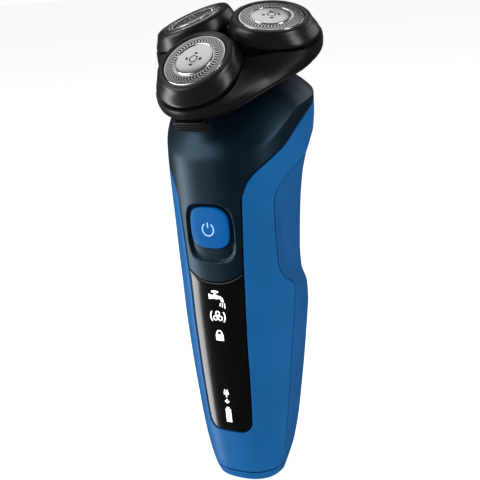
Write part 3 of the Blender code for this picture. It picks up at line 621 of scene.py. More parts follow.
class Paint(Enum):
    """Every finish on the shaver, by the part it is used on."""

    SHELL = Moulding("blue_satin_shell", (0.0015, 0.100, 0.310), 0.40, 0.006,
                     drift=0.06, ior=1.42, tint=(0.35, 0.75, 1.0))
    GRIP = Moulding("blue_soft_grip", (0.0010, 0.088, 0.275), 0.5, 0.012, 2.0,
                    drift=0.07, ior=1.38, tint=(0.35, 0.75, 1.0))
    NAVY = Moulding("navy_satin_front", (0.0010, 0.0055, 0.0120), 0.40, 0.005,
                    ior=1.62, tint=(0.40, 0.72, 1.0))
    KEY = Moulding("blue_key", (0.0005, 0.090, 0.320), 0.42, 0.004,
                   drift=0.05, ior=1.38, tint=(0.12, 0.6, 1.0))
    HEAD = Moulding("black_satin_head", (0.0055, 0.0055, 0.006), 0.34, 0.006, 3.5,
                    drift=0.15)
    POD = Moulding("black_satin_pod", (0.0065, 0.0065, 0.007), 0.30, 0.006, 3.5,
                   drift=0.12, ior=1.55)
    INNER = Moulding("black_inner_plastic", (0.010, 0.010, 0.011), 0.45, 0.012, 2.0)
    GREY = Moulding("grey_inner_plastic", (0.22, 0.22, 0.23), 0.42, 0.010, 2.0)
    GEAR = Moulding("ivory_gear_plastic", (0.62, 0.58, 0.48), 0.38, 0.008, 3.0)
    LENS = Lens("black_gloss_lens")
    FOIL = SlottedSteel("slotted_guard_steel")
    STEEL = Metal("cutter_steel", (0.62, 0.62, 0.63), 0.28)
    SCREW = Metal("screw_steel", (0.50, 0.50, 0.51), 0.32)
    MOTOR = Metal("motor_can_steel", (0.55, 0.55, 0.56), 0.3, 0.006, (1.0, 1.0, 0.15))
    PIN = Metal("plated_pin", (0.83, 0.66, 0.33), 0.2)
    SYMBOL = Lamp("lit_symbol", (0.92, 0.95, 1.0), 1.6)
    # painted light: the key's power sign is no lamp; its weak emission is a painted glow that lifts
    # the light-blue sign
    KEY_PAINTED_GLOW = Lamp("key_symbol_painted_glow", (0.35, 0.62, 0.92), 0.25)
    BOARD = Circuit("board_lacquer")
    CELL = Wrapper("cell_sleeve")

    def material(self) -> bpy.types.Material:
        """The finish's material, made once."""
        return bpy.data.materials.get(self.value.name) or self.value.make()


def dress(obj: bpy.types.Object, paint: Paint, body: str, slot: str,
          *nodes: str) -> bpy.types.Object:
    """Gives a piece its finish and its body, and hides the CAD nodes it stands for."""
    obj.data.materials.clear()
    obj.data.materials.append(paint.material())
    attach(obj, body)
    if nodes:
        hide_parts(*nodes)
    LOG.info("%s on %s, %d faces", obj.name, body, len(obj.data.polygons))
    return obj


# ------------------------------------------------------------------ handle
@dataclass
class HandleSkin:
    """The handle's outer surface: superellipse sections stacked up its height."""

    square_front: float = 2.45
    square_back: float = 2.4
    sections: tuple[tuple[float, ...], ...] = (
        (0.0, 10.9, -10.8, -1.0, 7.6), (3.3, 12.2, -12.2, -1.0, 8.9),
        (6.0, 13.1, -12.8, -0.8, 10.1), (10.0, 14.3, -13.3, -0.4, 12.0),
        (15.0, 15.3, -14.0, 0.0, 13.6), (20.0, 16.1, -14.6, 0.4, 14.8),
        (30.0, 17.3, -15.5, 1.0, 16.6), (40.0, 18.4, -16.3, 1.6, 18.2),
        (50.0, 19.3, -17.0, 2.2, 19.7), (60.0, 20.1, -17.5, 2.8, 21.0),
        (70.0, 20.6, -17.8, 3.2, 21.8), (80.0, 21.1, -18.3, 3.6, 22.3),
        (90.0, 21.4, -18.9, 4.2, 23.0), (100.0, 21.9, -19.5, 5.0, 24.0),
        (110.0, 22.4, -20.0, 6.2, 25.2), (118.0, 22.9, -19.5, 7.5, 25.8),
        (125.0, 23.3, -18.6, 8.5, 26.0), (136.0, 23.3, -17.4, 9.0, 25.8))
    recess: Curve = Curve(((60.0, 0.0), (66.0, 0.5), (72.0, 2.4), (80.0, 3.0), (95.0, 2.95),
                           (103.0, 2.7), (109.0, 2.0), (114.0, 0.9), (119.0, 0.0), (136.0, 0.0)))
    grip_edge: Curve = Curve((
        (7.0, 90.0), (12.0, 83.0), (20.0, 80.5), (40.0, 80.7), (60.0, 82.5), (67.0, 84.0),
        (70.3, 80.3), (72.6, 70.7), (75.4, 64.9), (78.0, 62.4), (85.0, 61.0), (97.0, 59.7),
        (100.0, 60.3), (102.5, 63.1), (105.0, 68.9), (107.9, 78.5), (110.0, 90.0)))
    seam: Curve = Curve(((-17.2, 99.6), (-17.0, 101.8), (-16.6, 104.3), (-16.0, 106.6), (-14.2, 109.3),
                         (-9.9, 112.7), (-4.3, 116.3), (2.8, 121.8), (12.1, 126.4),
                         (20.0, 128.6), (27.0, 129.6)))
    crease: Curve = Curve(((-20.5, 113.0), (-18.6, 113.3), (-14.0, 116.0), (-9.7, 118.9),
                           (-3.9, 123.0), (2.0, 127.0), (8.0, 128.4), (14.0, 129.6),
                           (22.0, 131.8), (27.0, 132.4)))
    panel: Curve = Curve(((18.0, 7.6), (24.0, 8.1), (30.0, 8.5), (40.0, 9.0), (50.0, 9.3),
                          (60.0, 9.7), (72.0, 10.1), (84.0, 10.7), (100.0, 11.6),
                          (112.0, 12.2)))
    panel_foot: float = 19.4
    foot_corner: float = 4.2
    gap: float = 0.3

    def __post_init__(self) -> None:
        """Turns the section table into its four curves."""
        columns = list(zip(*self.sections))
        self.width, self.front_y, self.mid_y, self.back_y = (
            Curve(tuple(zip(columns[0], c))) for c in columns[1:])

    def at(self, deg: Array, z: Array, off: Any = 0.0) -> Array:
        """Points of the skin.

        Formula: x = (w - off) |sin|^e, and y runs from the widest line to the front
        or back by |cos|^e, with off grown by the waist's recess behind the grip's edge.

        Args:
            deg: degrees round the handle, 0 at the front and 90 at its right.
            z: heights.
            off: depth below the surface.
        Returns:
            Points, with one axis more than the inputs.
        """
        deg, z, off = np.broadcast_arrays(np.asarray(deg, float), z, off)
        a = np.radians(deg)
        s, c = np.sin(a), np.cos(a)
        e = np.where(c > 0, 2 / self.square_front, 2 / self.square_back)
        w, f, m, b = self.width(z), self.front_y(z), self.mid_y(z), self.back_y(z)
        turn = np.abs((deg + 180) % 360 - 180)
        edge = self.grip_edge(z)
        t = np.clip((turn - edge + 2) / 18, 0, 1)
        off = off + self.recess(z) * t * t * (3 - 2 * t)
        x = (w - off) * np.sign(s) * np.abs(s) ** e
        reach = np.abs(c) ** e
        y = np.where(c > 0, m - (m - f - off) * reach, m + (b - m - off) * reach)
        return np.stack([x, y, z], -1)

    def turn_at(self, x: Array, z: Array) -> Array:
        """Degrees round the front half at which the skin has this x."""
        share = np.clip(np.abs(x) / self.width(z), 0, 1) ** (self.square_front / 2)
        return np.sign(x) * np.degrees(np.arcsin(share))

    def front(self, x: Array, z: Array, off: Any = 0.0) -> Array:
        """Points of the front half by x and height."""
        return self.at(self.turn_at(x, z), z, off)

    def on(self, deg: Array, curve: Curve, lift: float = 0.0) -> Array:
        """Heights at which the skin meets a curve of height by y.

        Found by iteration on a ring of whole and half degrees, and read off between.
        """
        ring = np.linspace(0, 180, 721)
        z = np.full(ring.shape, 120.0)
        for _ in range(40):
            z = 0.5 * z + 0.5 * (curve(self.at(ring, z)[..., 1]) + lift)
        return np.interp(np.abs((np.asarray(deg) + 180) % 360 - 180), ring, z)

    def opening(self, z: Array, grow: float = 0.0) -> Array:
        """Half width of the front opening, whose foot has round corners."""
        foot, r = self.panel_foot - grow, self.foot_corner
        wide = self.panel(np.maximum(z, foot + r)) + grow
        below = np.clip(foot + r - z, 0, r)
        return wide - r + np.sqrt(np.maximum(r * r - below * below, 0))

    def from_opening(self, x: Array, z: Array, grow: float = 0.0) -> Array:
        """Distance outside the opening's rim, negative within it."""
        foot, r = self.panel_foot - grow, self.foot_corner
        wide = self.panel(np.maximum(z, foot + r)) + grow
        side = np.abs(x) - wide + r
        down = foot + r - z
        return np.hypot(np.maximum(side, 0), np.maximum(down, 0)) + np.minimum(
            np.maximum(side, down), 0) - r


@dataclass
class Shell:
    """The blue outer shell: a cup open at the top, with a slot in front and a pocket behind."""

    skin: HandleSkin
    low: float = 3.6
    wall: float = 3.1
    lip: float = 0.35
    slot_grow: float = 0.4
    pocket: float = 1.5
    pocket_gap: float = 0.22
    pocket_low: float = 7.0
    pocket_high: float = 110.0
    straight: float = 64.0
    lean: float = 0.3665
    round: float = 0.25
    across: int = 26
    behind: int = 48

    def _rows(self) -> Array:
        """Each row's height as a sum: a level, a share of the waist line, a share of the seam."""
        foot = self.skin.panel_foot - self.slot_grow
        lip, edge = rim_steps(self.lip), rim_steps(self.round)
        low = self.pocket_low - self.pocket_gap
        corner = foot + self.skin.foot_corner * (1 - np.cos(np.linspace(0, math.pi / 2, 12)))[1:]
        level = np.concatenate([
            self.low + lip, np.linspace(4.3, low - 0.3, 4), low - edge[::-1],
            [low + 0.02], np.linspace(low + 0.7, foot - 0.8, 14), foot - lip[::-1],
            corner, np.linspace(corner[-1], self.straight, 42)[1:]])
        t, u = np.linspace(0, 1, 46)[1:], np.linspace(0, 1, 14)
        blocks = [(level, 0 * level, 0 * level),
                  (self.straight * (1 - t) - 0.02 * t, t, 0 * t),
                  (edge, 1 + 0 * edge, 0 * edge),
                  (0.3 * (1 - u) - self.lip * u, 1 - u, u),
                  (-lip[::-1][1:], 0 * lip[1:], 1 + 0 * lip[1:])]
        return np.concatenate([np.stack(b, 1) for b in blocks])

    def _heights(self, rows: Array, deg: Array) -> Array:
        """Heights of the rows at their columns' degrees."""
        high = self.pocket_high + self.pocket_gap
        waist = 96.0 + (high - 96.0) * smooth(34, 57, deg)
        top = self.skin.on(deg, self.skin.seam, -self.skin.gap)
        return rows[:, :1] + rows[:, 1:2] * waist + rows[:, 2:] * top

    def _depth(self, deg: Array, z: Array, x: Array) -> Array:
        """Depth of the outer face: round lips at every rim, and the grip's pocket."""
        s = self.skin
        top = s.on(deg, s.seam, -s.gap)
        rim = np.minimum(np.minimum(s.from_opening(x, z, self.slot_grow), z - self.low), top - z)
        into = np.minimum(np.minimum((deg - s.grip_edge(z)) * self.lean + self.pocket_gap,
                                     z - self.pocket_low + self.pocket_gap),
                          self.pocket_high + self.pocket_gap - z)
        edge = rounding(-into, self.round)
        return rounding(rim, self.lip) + np.where(into > 0.005, self.pocket, edge)

    def _columns(self, first: Array, edge: Array) -> Array:
        """Columns from the slot's rim on to the pocket's edge, over it, and to the back.

        Args:
            first: the columns of the slot's round lip.
            edge: the height at which each row meets the pocket's edge.
        Returns:
            Degrees, one row for each row of the shell.
        """
        step = self.round / self.lean
        g = self.skin.grip_edge(edge) - self.pocket_gap / self.lean
        mid = first[:, -1:] + (g - step - first[:, -1:]) * np.linspace(0, 1, self.across)[1:-1]
        inside = g + 0.02 / self.lean
        rest = inside + (180 - inside) * np.linspace(0, 1, self.behind)[1:]
        near = rim_steps(self.round)[::-1] / self.lean
        return np.concatenate([first, mid, g - near, inside, rest], 1)

    def build(self) -> bpy.types.Object:
        """Works out the right half, mirrors it, and dresses it."""
        s = self.skin
        start = rim_steps(self.lip)
        rows = self._rows()
        deg = np.full((len(rows), 1), 25.0)
        turn = len(start) + self.across - 2 + len(rim_steps(self.round)) - 1
        for _ in range(12):
            z = self._heights(rows, deg)
            first = s.turn_at(s.opening(z[:, :1], self.slot_grow) + start, z[:, :1])
            deg = self._columns(first, z[:, -1:])
            for _ in range(6):
                z = self._heights(rows, deg)
                deg = self._columns(first, z[:, turn:turn + 1])
        z = self._heights(rows, deg)
        x = s.at(deg, z)[..., 0]
        main = (s.at(deg, z, self._depth(deg, z, x)), s.at(deg, z, self.wall))
        foot = s.panel_foot - self.slot_grow
        low = z[:, 0] < foot + 1e-6
        zc = np.repeat(z[low][:, :1], 9, 1)
        xc = x[low][:, :1] * np.linspace(0, 1, 9)
        dc = s.turn_at(xc, zc)
        chin = (s.at(dc, zc, self._depth(dc, zc, xc)), s.at(dc, zc, self.wall))
        obj = Solid().plate([main, chin], mirrored=True).build("blue_shell")
        return dress(obj, Paint.SHELL, "handle", "blue_shell", "body_shell")


@dataclass
class Front:
    """The navy front: a collar round the top, and a tongue down to the display with the key's hole."""

    skin: HandleSkin
    head: Place
    wall: float = 2.0
    lip: float = 0.35
    key_z: float = 91.0
    hole: tuple[float, float] = (7.6, 7.2)
    square: float = 3.2
    dish_z: float = 89.2
    dish: tuple[float, float] = (9.1, 10.0)
    dish_depth: float = 1.1
    dish_square: float = 3.6
    low: float = 78.6
    high: float = 99.3
    display_top: float = 72.4
    display_dip: float = 3.6
    neck_r: float = 12.4
    neck_h: float = 18.0

    def arc(self, x: Array, gap: float = 0.0) -> Array:
        """Height of the curved edge between the display and the tongue."""
        return self.display_top + gap + self.display_dip * np.minimum(1, np.abs(x) / 10.3) ** 2.4

    def dished(self, x: Array, z: Array) -> Array:
        """Depth of the shallow dish about the key, by a superellipse's norm."""
        e = self.dish_square
        q = np.abs(x / self.dish[0]) ** e + np.abs((z - self.dish_z) / self.dish[1]) ** e
        return self.dish_depth * (1 - smooth(0.90, 1.0, q ** (1 / e)))

    def _across(self, z: Array) -> Array:
        """The tongue's columns at heights z, close together at the rim."""
        half, even = self.skin.opening(z), np.linspace(0, 1, 15)
        ends = rim_steps(self.lip)[::-1][1:]
        return np.concatenate([(half[..., :15] - self.lip) * even, half[..., 15:] - ends], -1)

    def _pair(self, x: Array, z: Array, rim: Array) -> tuple[Array, Array]:
        """Outer and inner points for a block of the tongue."""
        s = self.skin
        off = rounding(rim, self.lip) + self.dished(x, z)
        return s.front(x, z, off), s.front(x, z, self.wall + 0 * x)

    def _mouth(self, deg: Array, r: float, h: float) -> Array:
        """A ring about the head's axis."""
        a = np.radians(deg)
        return self.head(np.stack([r * np.sin(a), -r * np.cos(a), h + 0 * a], -1))

    def _collar(self) -> tuple[Array, Array]:
        """Outer and inner points of the collar from its seam over the crease to the mouth."""
        s = self.skin
        deg = np.linspace(0, 30, 19)
        for _ in range(12):
            z = s.on(deg, s.seam)
            deg = s.turn_at(self._across(z), z)
        edge = len(deg)
        deg = np.concatenate([deg, deg[-1] + (180 - deg[-1]) * np.linspace(0, 1, 84)[1:]])
        low, crease = s.on(deg, s.seam), s.on(deg, s.crease)
        t = np.linspace(0, 1, 15)[1:, None]
        start = rim_steps(self.lip)[:, None]
        z = np.concatenate([low + start, low + self.lip + (crease - low - self.lip) * t])
        x = s.at(deg, z)[..., 0]
        rim = np.where(np.arange(len(deg)) < edge - 1,
                       np.hypot(s.opening(z) - np.abs(x), z - low), z - low)
        outer = [s.at(deg, z, rounding(rim, self.lip) + self.dished(x, z) * (deg < 40))]
        inner = [s.at(deg, z, self.wall)]
        base, ring = s.at(deg, crease), self._mouth(deg, self.neck_r + 0.5, -self.neck_h)
        t = np.concatenate([np.linspace(0, 0.1, 6)[1:], np.linspace(0.1, 1, 26)[1:]])[:, None]
        a = math.pi / 2 * t
        side, up = 0.35 * (1 - np.cos(a)) + 0.65 * t, 0.5 * np.sin(a) + 0.5 * t
        share = np.stack([side, side, up], -1)
        dome = base + (ring - base) * share
        outer.append(dome)
        to = np.array([0.0, 6.0, 118.0]) - dome
        inner.append(dome + to / np.linalg.norm(to, axis=-1, keepdims=True) * self.wall)
        turn = np.linspace(0, math.pi / 2, 5)[1:]
        lips = np.stack([self._mouth(deg, self.neck_r + 0.5 * (1 - math.sin(q)),
                                     -self.neck_h - 0.5 * (1 - math.cos(q))) for q in turn])
        outer.append(lips)
        inner.append(np.stack([self._mouth(deg, self.neck_r + 0.6, -self.neck_h - 1.8)] * 4))
        outer, inner = np.concatenate(outer), np.concatenate(inner)
        k = z.shape[0] - 1
        for _ in range(5):
            part = outer[k - 3:k + 4]
            outer[k - 2:k + 3] = 0.25 * part[:-2] + 0.5 * part[1:-1] + 0.25 * part[2:]
        return outer, inner

    def build(self) -> bpy.types.Object:
        """Puts the tongue, the ring round the key's hole and the collar together."""
        s = self.skin
        t = np.concatenate([rim_steps(self.lip) / 5.5, np.linspace(0.07, 1, 12)[1:]])[:, None]
        z = np.full((len(t), 19), 75.0)
        for _ in range(8):
            x = self._across(z)
            low = self.arc(x, s.gap)
            z = low + (self.low - low) * t
        lower = self._pair(x, z, np.minimum(s.opening(z) - x, z - self.arc(x, s.gap)))
        side = np.linspace(self.low, self.high, 40)[1:-1]
        bottom = self._across(np.full(19, self.low))
        top = self._across(np.full(19, self.high))
        border = np.concatenate([
            np.stack([bottom, 0 * bottom + self.low], 1),
            np.stack([s.opening(side), side], 1),
            np.stack([top, 0 * top + self.high], 1)[::-1]])
        way = border - (0, self.key_z)
        way = way / np.linalg.norm(way, axis=1, keepdims=True)
        reach = ((np.abs(way[:, 0]) / self.hole[0]) ** self.square
                 + (np.abs(way[:, 1]) / self.hole[1]) ** self.square) ** (-1 / self.square)
        inner = way * reach[:, None] + (0, self.key_z)
        far = np.linalg.norm(border - inner, axis=1)
        steps = spaced(far, 16, head=0.3, tail=self.lip)
        ring = inner[None] + ((border - inner) / far[:, None])[None] * steps.T[..., None]
        x, z = ring[..., 0], ring[..., 1]
        round_key = self._pair(x, z, np.minimum(s.opening(z) - x, steps.T))
        rows = np.linspace(0, 1, 5)[:, None]
        z = np.full((5, 19), self.high)
        for _ in range(12):
            x = self._across(z)
            seam = s.on(s.turn_at(x, z), s.seam)
            z = self.high + (seam - self.high) * rows
        upper = self._pair(x, z, s.opening(z) - x)
        obj = Solid().plate([lower, round_key, upper, self._collar()], True).build(
            "navy_front", merge=0.004)
        return dress(obj, Paint.NAVY, "handle", "navy_panel", "front_panel")


@dataclass
class Display:
    """The black lens that fills the opening below the navy tongue."""

    skin: HandleSkin
    front: Front
    wall: float = 1.8
    lip: float = 0.4

    def build(self) -> bpy.types.Object:
        """Rows follow the foot's corners below and bend to the tongue's arc above."""
        s = self.skin
        corner = s.foot_corner * (1 - np.cos(np.linspace(0, math.pi / 2, 14)))
        level = s.panel_foot + np.concatenate([rim_steps(self.lip), corner[5:]])
        share = np.linspace(0, 1, 56)[1:, None]
        ends = rim_steps(self.lip)[::-1]
        even = np.linspace(0, 1, 19)
        z = np.full((len(level) + len(share) + 4, 23), 60.0)
        z[:len(level)] = level[:, None]
        for _ in range(10):
            half = s.opening(z)
            x = np.concatenate([(half[:, :19] - self.lip) * even, half[:, 19:] - ends[1:]], 1)
            top = self.front.arc(x)
            k = len(level)
            z[k:-4] = level[-1] + (top[k:-4] - self.lip - level[-1]) * share
            z[-4:] = top[-4:] - ends[1:, None]
        rim = np.minimum(-s.from_opening(x, z), top - z)
        outer = s.front(x, z, rounding(rim, self.lip))
        obj = Solid().plate([(outer, s.front(x, z, self.wall))], True).build("display_lens")
        return dress(obj, Paint.LENS, "handle", "black_lens", "display_window")


@dataclass
class Grip:
    """The blue pad in the shell's back, with low waves where the palm lies."""

    skin: HandleSkin
    thick: float = 1.2
    lip: float = 0.35
    low: float = 7.0
    high: float = 110.0
    lean: float = 0.3665

    def build(self) -> bpy.types.Object:
        """Columns run from the pad's edge to the back, rows up the handle."""
        s = self.skin
        level = spaced(self.high - self.low, 150, self.lip, self.lip) + self.low
        edge = s.grip_edge(level)
        start = rim_steps(self.lip) / self.lean
        rest = np.linspace(0, 1, 60)[1:]
        first = edge[:, None] + start
        deg = np.concatenate([first, first[:, -1:] + (180 - first[:, -1:]) * rest], 1)
        z = np.repeat(level[:, None], deg.shape[1], 1)
        rim = np.minimum((deg - edge[:, None]) * self.lean,
                         np.minimum(z - self.low, self.high - z))
        zone = smooth(128, 140, deg) * smooth(20, 30, z) * smooth(98, 88, z)
        wave = zone * 0.28 * (0.5 + 0.5 * np.cos(
            2 * math.pi * (z + 2.2 * np.cos(np.radians(deg) * 9)) / 3.4)) ** 2
        outer = s.at(deg, z, rounding(rim, self.lip) + wave)
        obj = Solid().plate([(outer, s.at(deg, z, self.thick))], True).build("rear_pad")
        return dress(obj, Paint.GRIP, "handle", "blue_grip", "rear_grip")


@dataclass
class Key:
    """The blue power key, its edge rolled over, with the power symbol on it."""

    skin: HandleSkin
    z: float = 91.0
    half: tuple[float, float] = (7.3, 6.9)
    square: float = 3.2
    thick: float = 2.0
    roll: float = 0.55
    sunk: float = 0.22

    def hollow(self, share: Array) -> Array:
        """Depth of the key's face, which is lowest in its middle, by the way to its rim."""
        return self.sunk * (1 - smooth(0.0, 0.92, share))

    def build(self) -> bpy.types.Object:
        """Rings of superellipses from the middle to the rim."""
        a = np.linspace(0, 2 * math.pi, 144, endpoint=False)
        c, s = np.cos(a), np.sin(a)
        edge_x = self.half[0] * signed_power(c, 2 / self.square)
        edge_z = self.half[1] * signed_power(s, 2 / self.square)
        inset = np.concatenate([np.linspace(0, 1 - self.roll / 7, 22),
                                1 - rim_steps(self.roll)[::-1][1:] / 7])[:, None]
        x, z = edge_x * inset, edge_z * inset + self.z
        rim = (1 - inset) * 7 + 0 * x
        off = rounding(rim, self.roll) + self.hollow(inset)
        shape = Solid()
        shape.grid(self.skin.front(x, z, off), around=True)
        last = np.stack([self.skin.front(x[-1], z[-1], self.roll),
                         self.skin.front(x[-1], z[-1], self.thick)])
        shape.grid(last, around=True)
        shape.grid(self.skin.front(x[::-3], z[::-3], self.thick + 0 * x[::-3]), around=True)
        key = shape.build("power_key")
        return dress(key, Paint.KEY, "power_key", "blue_button", "power_button")


@dataclass
class Strokes:
    """Thin raised symbols on the front, drawn as ribbons of a given width."""

    skin: HandleSkin
    lift: float = 0.03
    shape: Solid = field(default_factory=Solid)

    def line(self, points: Sequence[tuple[float, float]], width: float, closed: bool = False,
             depth: Callable[[Array, Array], Array] | None = None) -> "Strokes":
        """Adds a ribbon along points in (x, z), lying on the skin.

        Formula: each point is moved half a width to both sides of the path, along the
        mean of its neighbouring directions turned a quarter.
        """
        p = np.array(points, float)
        if closed:
            way = np.roll(p, -1, 0) - np.roll(p, 1, 0)
        else:
            way = np.gradient(p, axis=0)
        way = way / np.maximum(np.linalg.norm(way, axis=1, keepdims=True), 1e-9)
        side = np.stack([-way[:, 1], way[:, 0]], 1) * width / 2
        steps = max(2, int(width / 0.5) + 1)
        across = np.linspace(-1, 1, steps)
        flat = p[None] + side[None] * across[:, None, None]
        fall = depth(flat[..., 0], flat[..., 1]) if depth else 0 * flat[..., 0]
        top = self.skin.front(flat[..., 0], flat[..., 1], fall - self.lift)
        low = self.skin.front(flat[..., 0], flat[..., 1], fall + self.lift)
        loop = np.concatenate([top, low[::-1]])
        self.shape.grid(np.swapaxes(loop, 0, 1), around=True, closed=closed)
        if not closed:
            for k in (0, -1):
                self.shape.grid(np.stack([top[:, k], low[:, k]]))
        return self

    def ring(self, centre: tuple[float, float], radius: float, width: float,
             start: float = 0.0, sweep: float = 360.0,
             depth: Callable[[Array, Array], Array] | None = None) -> "Strokes":
        """Adds an arc, from start degrees through sweep degrees."""
        a = np.radians(start + np.linspace(0, sweep, 41))
        points = np.stack([centre[0] + radius * np.cos(a), centre[1] + radius * np.sin(a)], 1)
        full = sweep >= 360
        return self.line(points[:-1] if full else points, width, full, depth)


@dataclass
class Symbols:
    """The lit symbols on the display, and the power sign on the key, whose glow is painted light."""

    skin: HandleSkin
    key: Key

    def _key_depth(self, x: Array, z: Array) -> Array:
        """Depth of the key's face below the skin."""
        q = np.maximum(np.abs(x) / self.key.half[0], np.abs(z - self.key.z) / self.key.half[1])
        return self.key.hollow(q)

    def _power(self) -> bpy.types.Object:
        """An open ring with a bar in its gap."""
        ink, z = Strokes(self.skin), self.key.z
        ink.ring((-0.3, z - 0.55), 2.1, 0.42, 125, 290, self._key_depth)
        ink.line([(-0.3, z), (-0.3, z + 0.9), (-0.3, z + 1.8)], 0.42, False, self._key_depth)
        # painted light: the power sign gets a weak painted glow, though it is no lamp
        return dress(ink.shape.build("power_symbol"), Paint.KEY_PAINTED_GLOW, "power_key", "blue_button")

    def _display(self) -> bpy.types.Object:
        """Tap with running water, turning head, padlock, plug with an arrow, and charge bar."""
        ink = Strokes(self.skin)
        x, z = 0.3, 67.6
        ink.line([(x - 2.4, z), (x - 0.9, z), (x + 0.6, z)], 1.25)
        ink.line([(x + 0.4, z), (x + 1.4, z), (x + 2.0, z - 0.4), (x + 2.2, z - 1.1),
                  (x + 2.2, z - 1.5)], 0.95)
        ink.line([(x - 0.4, z + 0.6), (x - 0.4, z + 1.6)], 0.8)
        ink.line([(x - 1.7, z + 1.8), (x - 0.4, z + 1.9), (x + 0.9, z + 1.8)], 0.6)
        ink.line([(x - 2.6, z + 0.9), (x - 2.6, z), (x - 2.6, z - 0.9)], 0.5)
        for k, drop in enumerate((1.6, 2.2, 2.8)):
            end = (x + 1.2 + 0.9 * k, z - 2.2 - drop * 0.5)
            ink.line([(x + 1.5 + 0.7 * k, z - 1.9), end], 0.28)
        z = 60.9
        for q in (90, 210, 330):
            c = (x + 1.05 * math.cos(math.radians(q)), z + 1.05 * math.sin(math.radians(q)))
            ink.ring(c, 0.72, 0.34)
        for side in (0, 180):
            ink.ring((x, z), 2.75, 0.38, side - 38, 76)
        z = 54.3
        ink.line([(x - 1.45, z - 0.7), (x, z - 0.7), (x + 1.45, z - 0.7)], 2.2)
        ink.ring((x, z + 0.7), 0.95, 0.42, 0, 180)
        for side in (-1, 1):
            ink.line([(x + side * 0.95, z + 0.3), (x + side * 0.95, z + 0.75)], 0.42)
        z = 33.4
        ink.line([(x - 0.9, z), (x, z), (x + 0.9, z)], 1.0)
        ink.line([(x, z - 0.4), (x, z - 1.0), (x, z - 1.5)], 0.42)
        for side in (-0.5, 0.5):
            ink.line([(x + side, z + 0.4), (x + side, z + 1.3)], 0.36)
        z = 30.3
        ink.line([(x - 0.75, z + 0.2), (x, z - 0.5), (x + 0.75, z + 0.2)], 0.42)
        ink.line([(x, z + 0.9), (x, z + 0.3), (x, z - 0.3)], 0.42)
        z = 25.2
        ink.line([(x, z - 2.5), (x, z), (x, z + 2.3)], 2.0)
        ink.line([(x - 0.5, z + 2.75), (x, z + 2.75), (x + 0.5, z + 2.75)], 0.5)
        return dress(ink.shape.build("lit_symbols"), Paint.SYMBOL, "handle", "black_lens")

    def build(self) -> None:
        """Makes both sets."""
        self._power()
        self._display()


@dataclass
class Foot:
    """The foot: a rounded cap with the inlet's opening and two screw wells."""

    skin: HandleSkin
    top: float = 3.3
    roll: float = 0.8
    inlet: tuple[float, float] = (5.5, 3.7)
    inlet_y: float = -4.6
    screws: tuple[float, float, float] = (5.8, 3.2, 2.0)

    def build(self) -> bpy.types.Object:
        """A closed ring: down the side, in under the foot, up the inlet and back."""
        deg = np.linspace(0, 360, 240, endpoint=False)
        turn = np.linspace(0, math.pi / 2, 6)
        down = [(self.top - d, rounding(d, 0.3)) for d in rim_steps(0.3)]
        down += [(2.4, 0.0), (1.6, 0.0)]
        down += [(self.roll * (1 - math.sin(q)), self.roll * (1 - math.cos(q))) for q in turn]
        rows = [self.skin.at(deg, z, off) for z, off in down]
        edge = rows[-1]
        way = edge[:, :2] - (0, self.inlet_y)
        way = way / np.linalg.norm(way, axis=1, keepdims=True)
        wide, high = self.inlet
        reach = ((np.abs(way[:, 0]) / wide) ** 5 + (np.abs(way[:, 1]) / high) ** 5) ** -0.2
        hole = np.concatenate([way * reach[:, None] + (0, self.inlet_y), 0 * edge[:, :1]], 1)
        rows += [edge + (hole - edge) * t for t in (0.3, 0.6, 0.9, 0.97)]
        rows += [hole + (0, 0, 0.15), hole + (0, 0, 6.2)]
        rows += [self.skin.at(deg, 6.3, 3.8), self.skin.at(deg, self.top - 0.4, 3.6),
                 self.skin.at(deg, self.top - 0.3, 0.35)]
        foot = Solid().grid(np.stack(rows), around=True, closed=True).build("foot_cap")
        x, y, r = self.screws
        wells = []
        for side in (-1, 1):
            place = Place(np.array([side * x, y, 0.0]), np.eye(3))
            profile = [(0.0, -1.0), (r, -1.0), (r, 1.6), (0.0, 1.6)]
            wells.append(turned_tool(f"well{side}", profile, place, 48))
        return dress(cut(foot, wells), Paint.SHELL, "handle", "grey_plastic", "base_cap")


# ------------------------------------------------------------------ head
@dataclass
class HeadFrame:
    """Where the head sits: its tilt, its three pods, and the flat for the hinge."""

    y: float = -4.405
    z: float = 151.69
    tilt: float = 25.49
    pod_r: float = 17.21
    pod_tilt: float = 14.56
    turns: tuple[tuple[str, float], ...] = (("a", -90.0), ("b", 150.0), ("c", 30.0))
    land: float = 20.7

    @property
    def place(self) -> Place:
        """x to the right, y up the slope to the back, z outwards."""
        c, s = math.cos(math.radians(self.tilt)), math.sin(math.radians(self.tilt))
        axes = np.array([(1, 0, 0), (0, c, s), (0, -s, c)], float)
        return Place(np.array([0, self.y, self.z]), axes)

    def pod(self, turn: float) -> Place:
        """A pod's frame: x away from the head's middle, z along the pod's axis."""
        a, b = math.radians(turn), math.radians(self.pod_tilt)
        u, v, n = self.place.axes
        e = math.cos(a) * u + math.sin(a) * v
        normal, out = math.cos(b) * n + math.sin(b) * e, math.cos(b) * e - math.sin(b) * n
        return Place(self.place.origin + self.pod_r * e,
                     np.array([out, np.cross(normal, out), normal]))


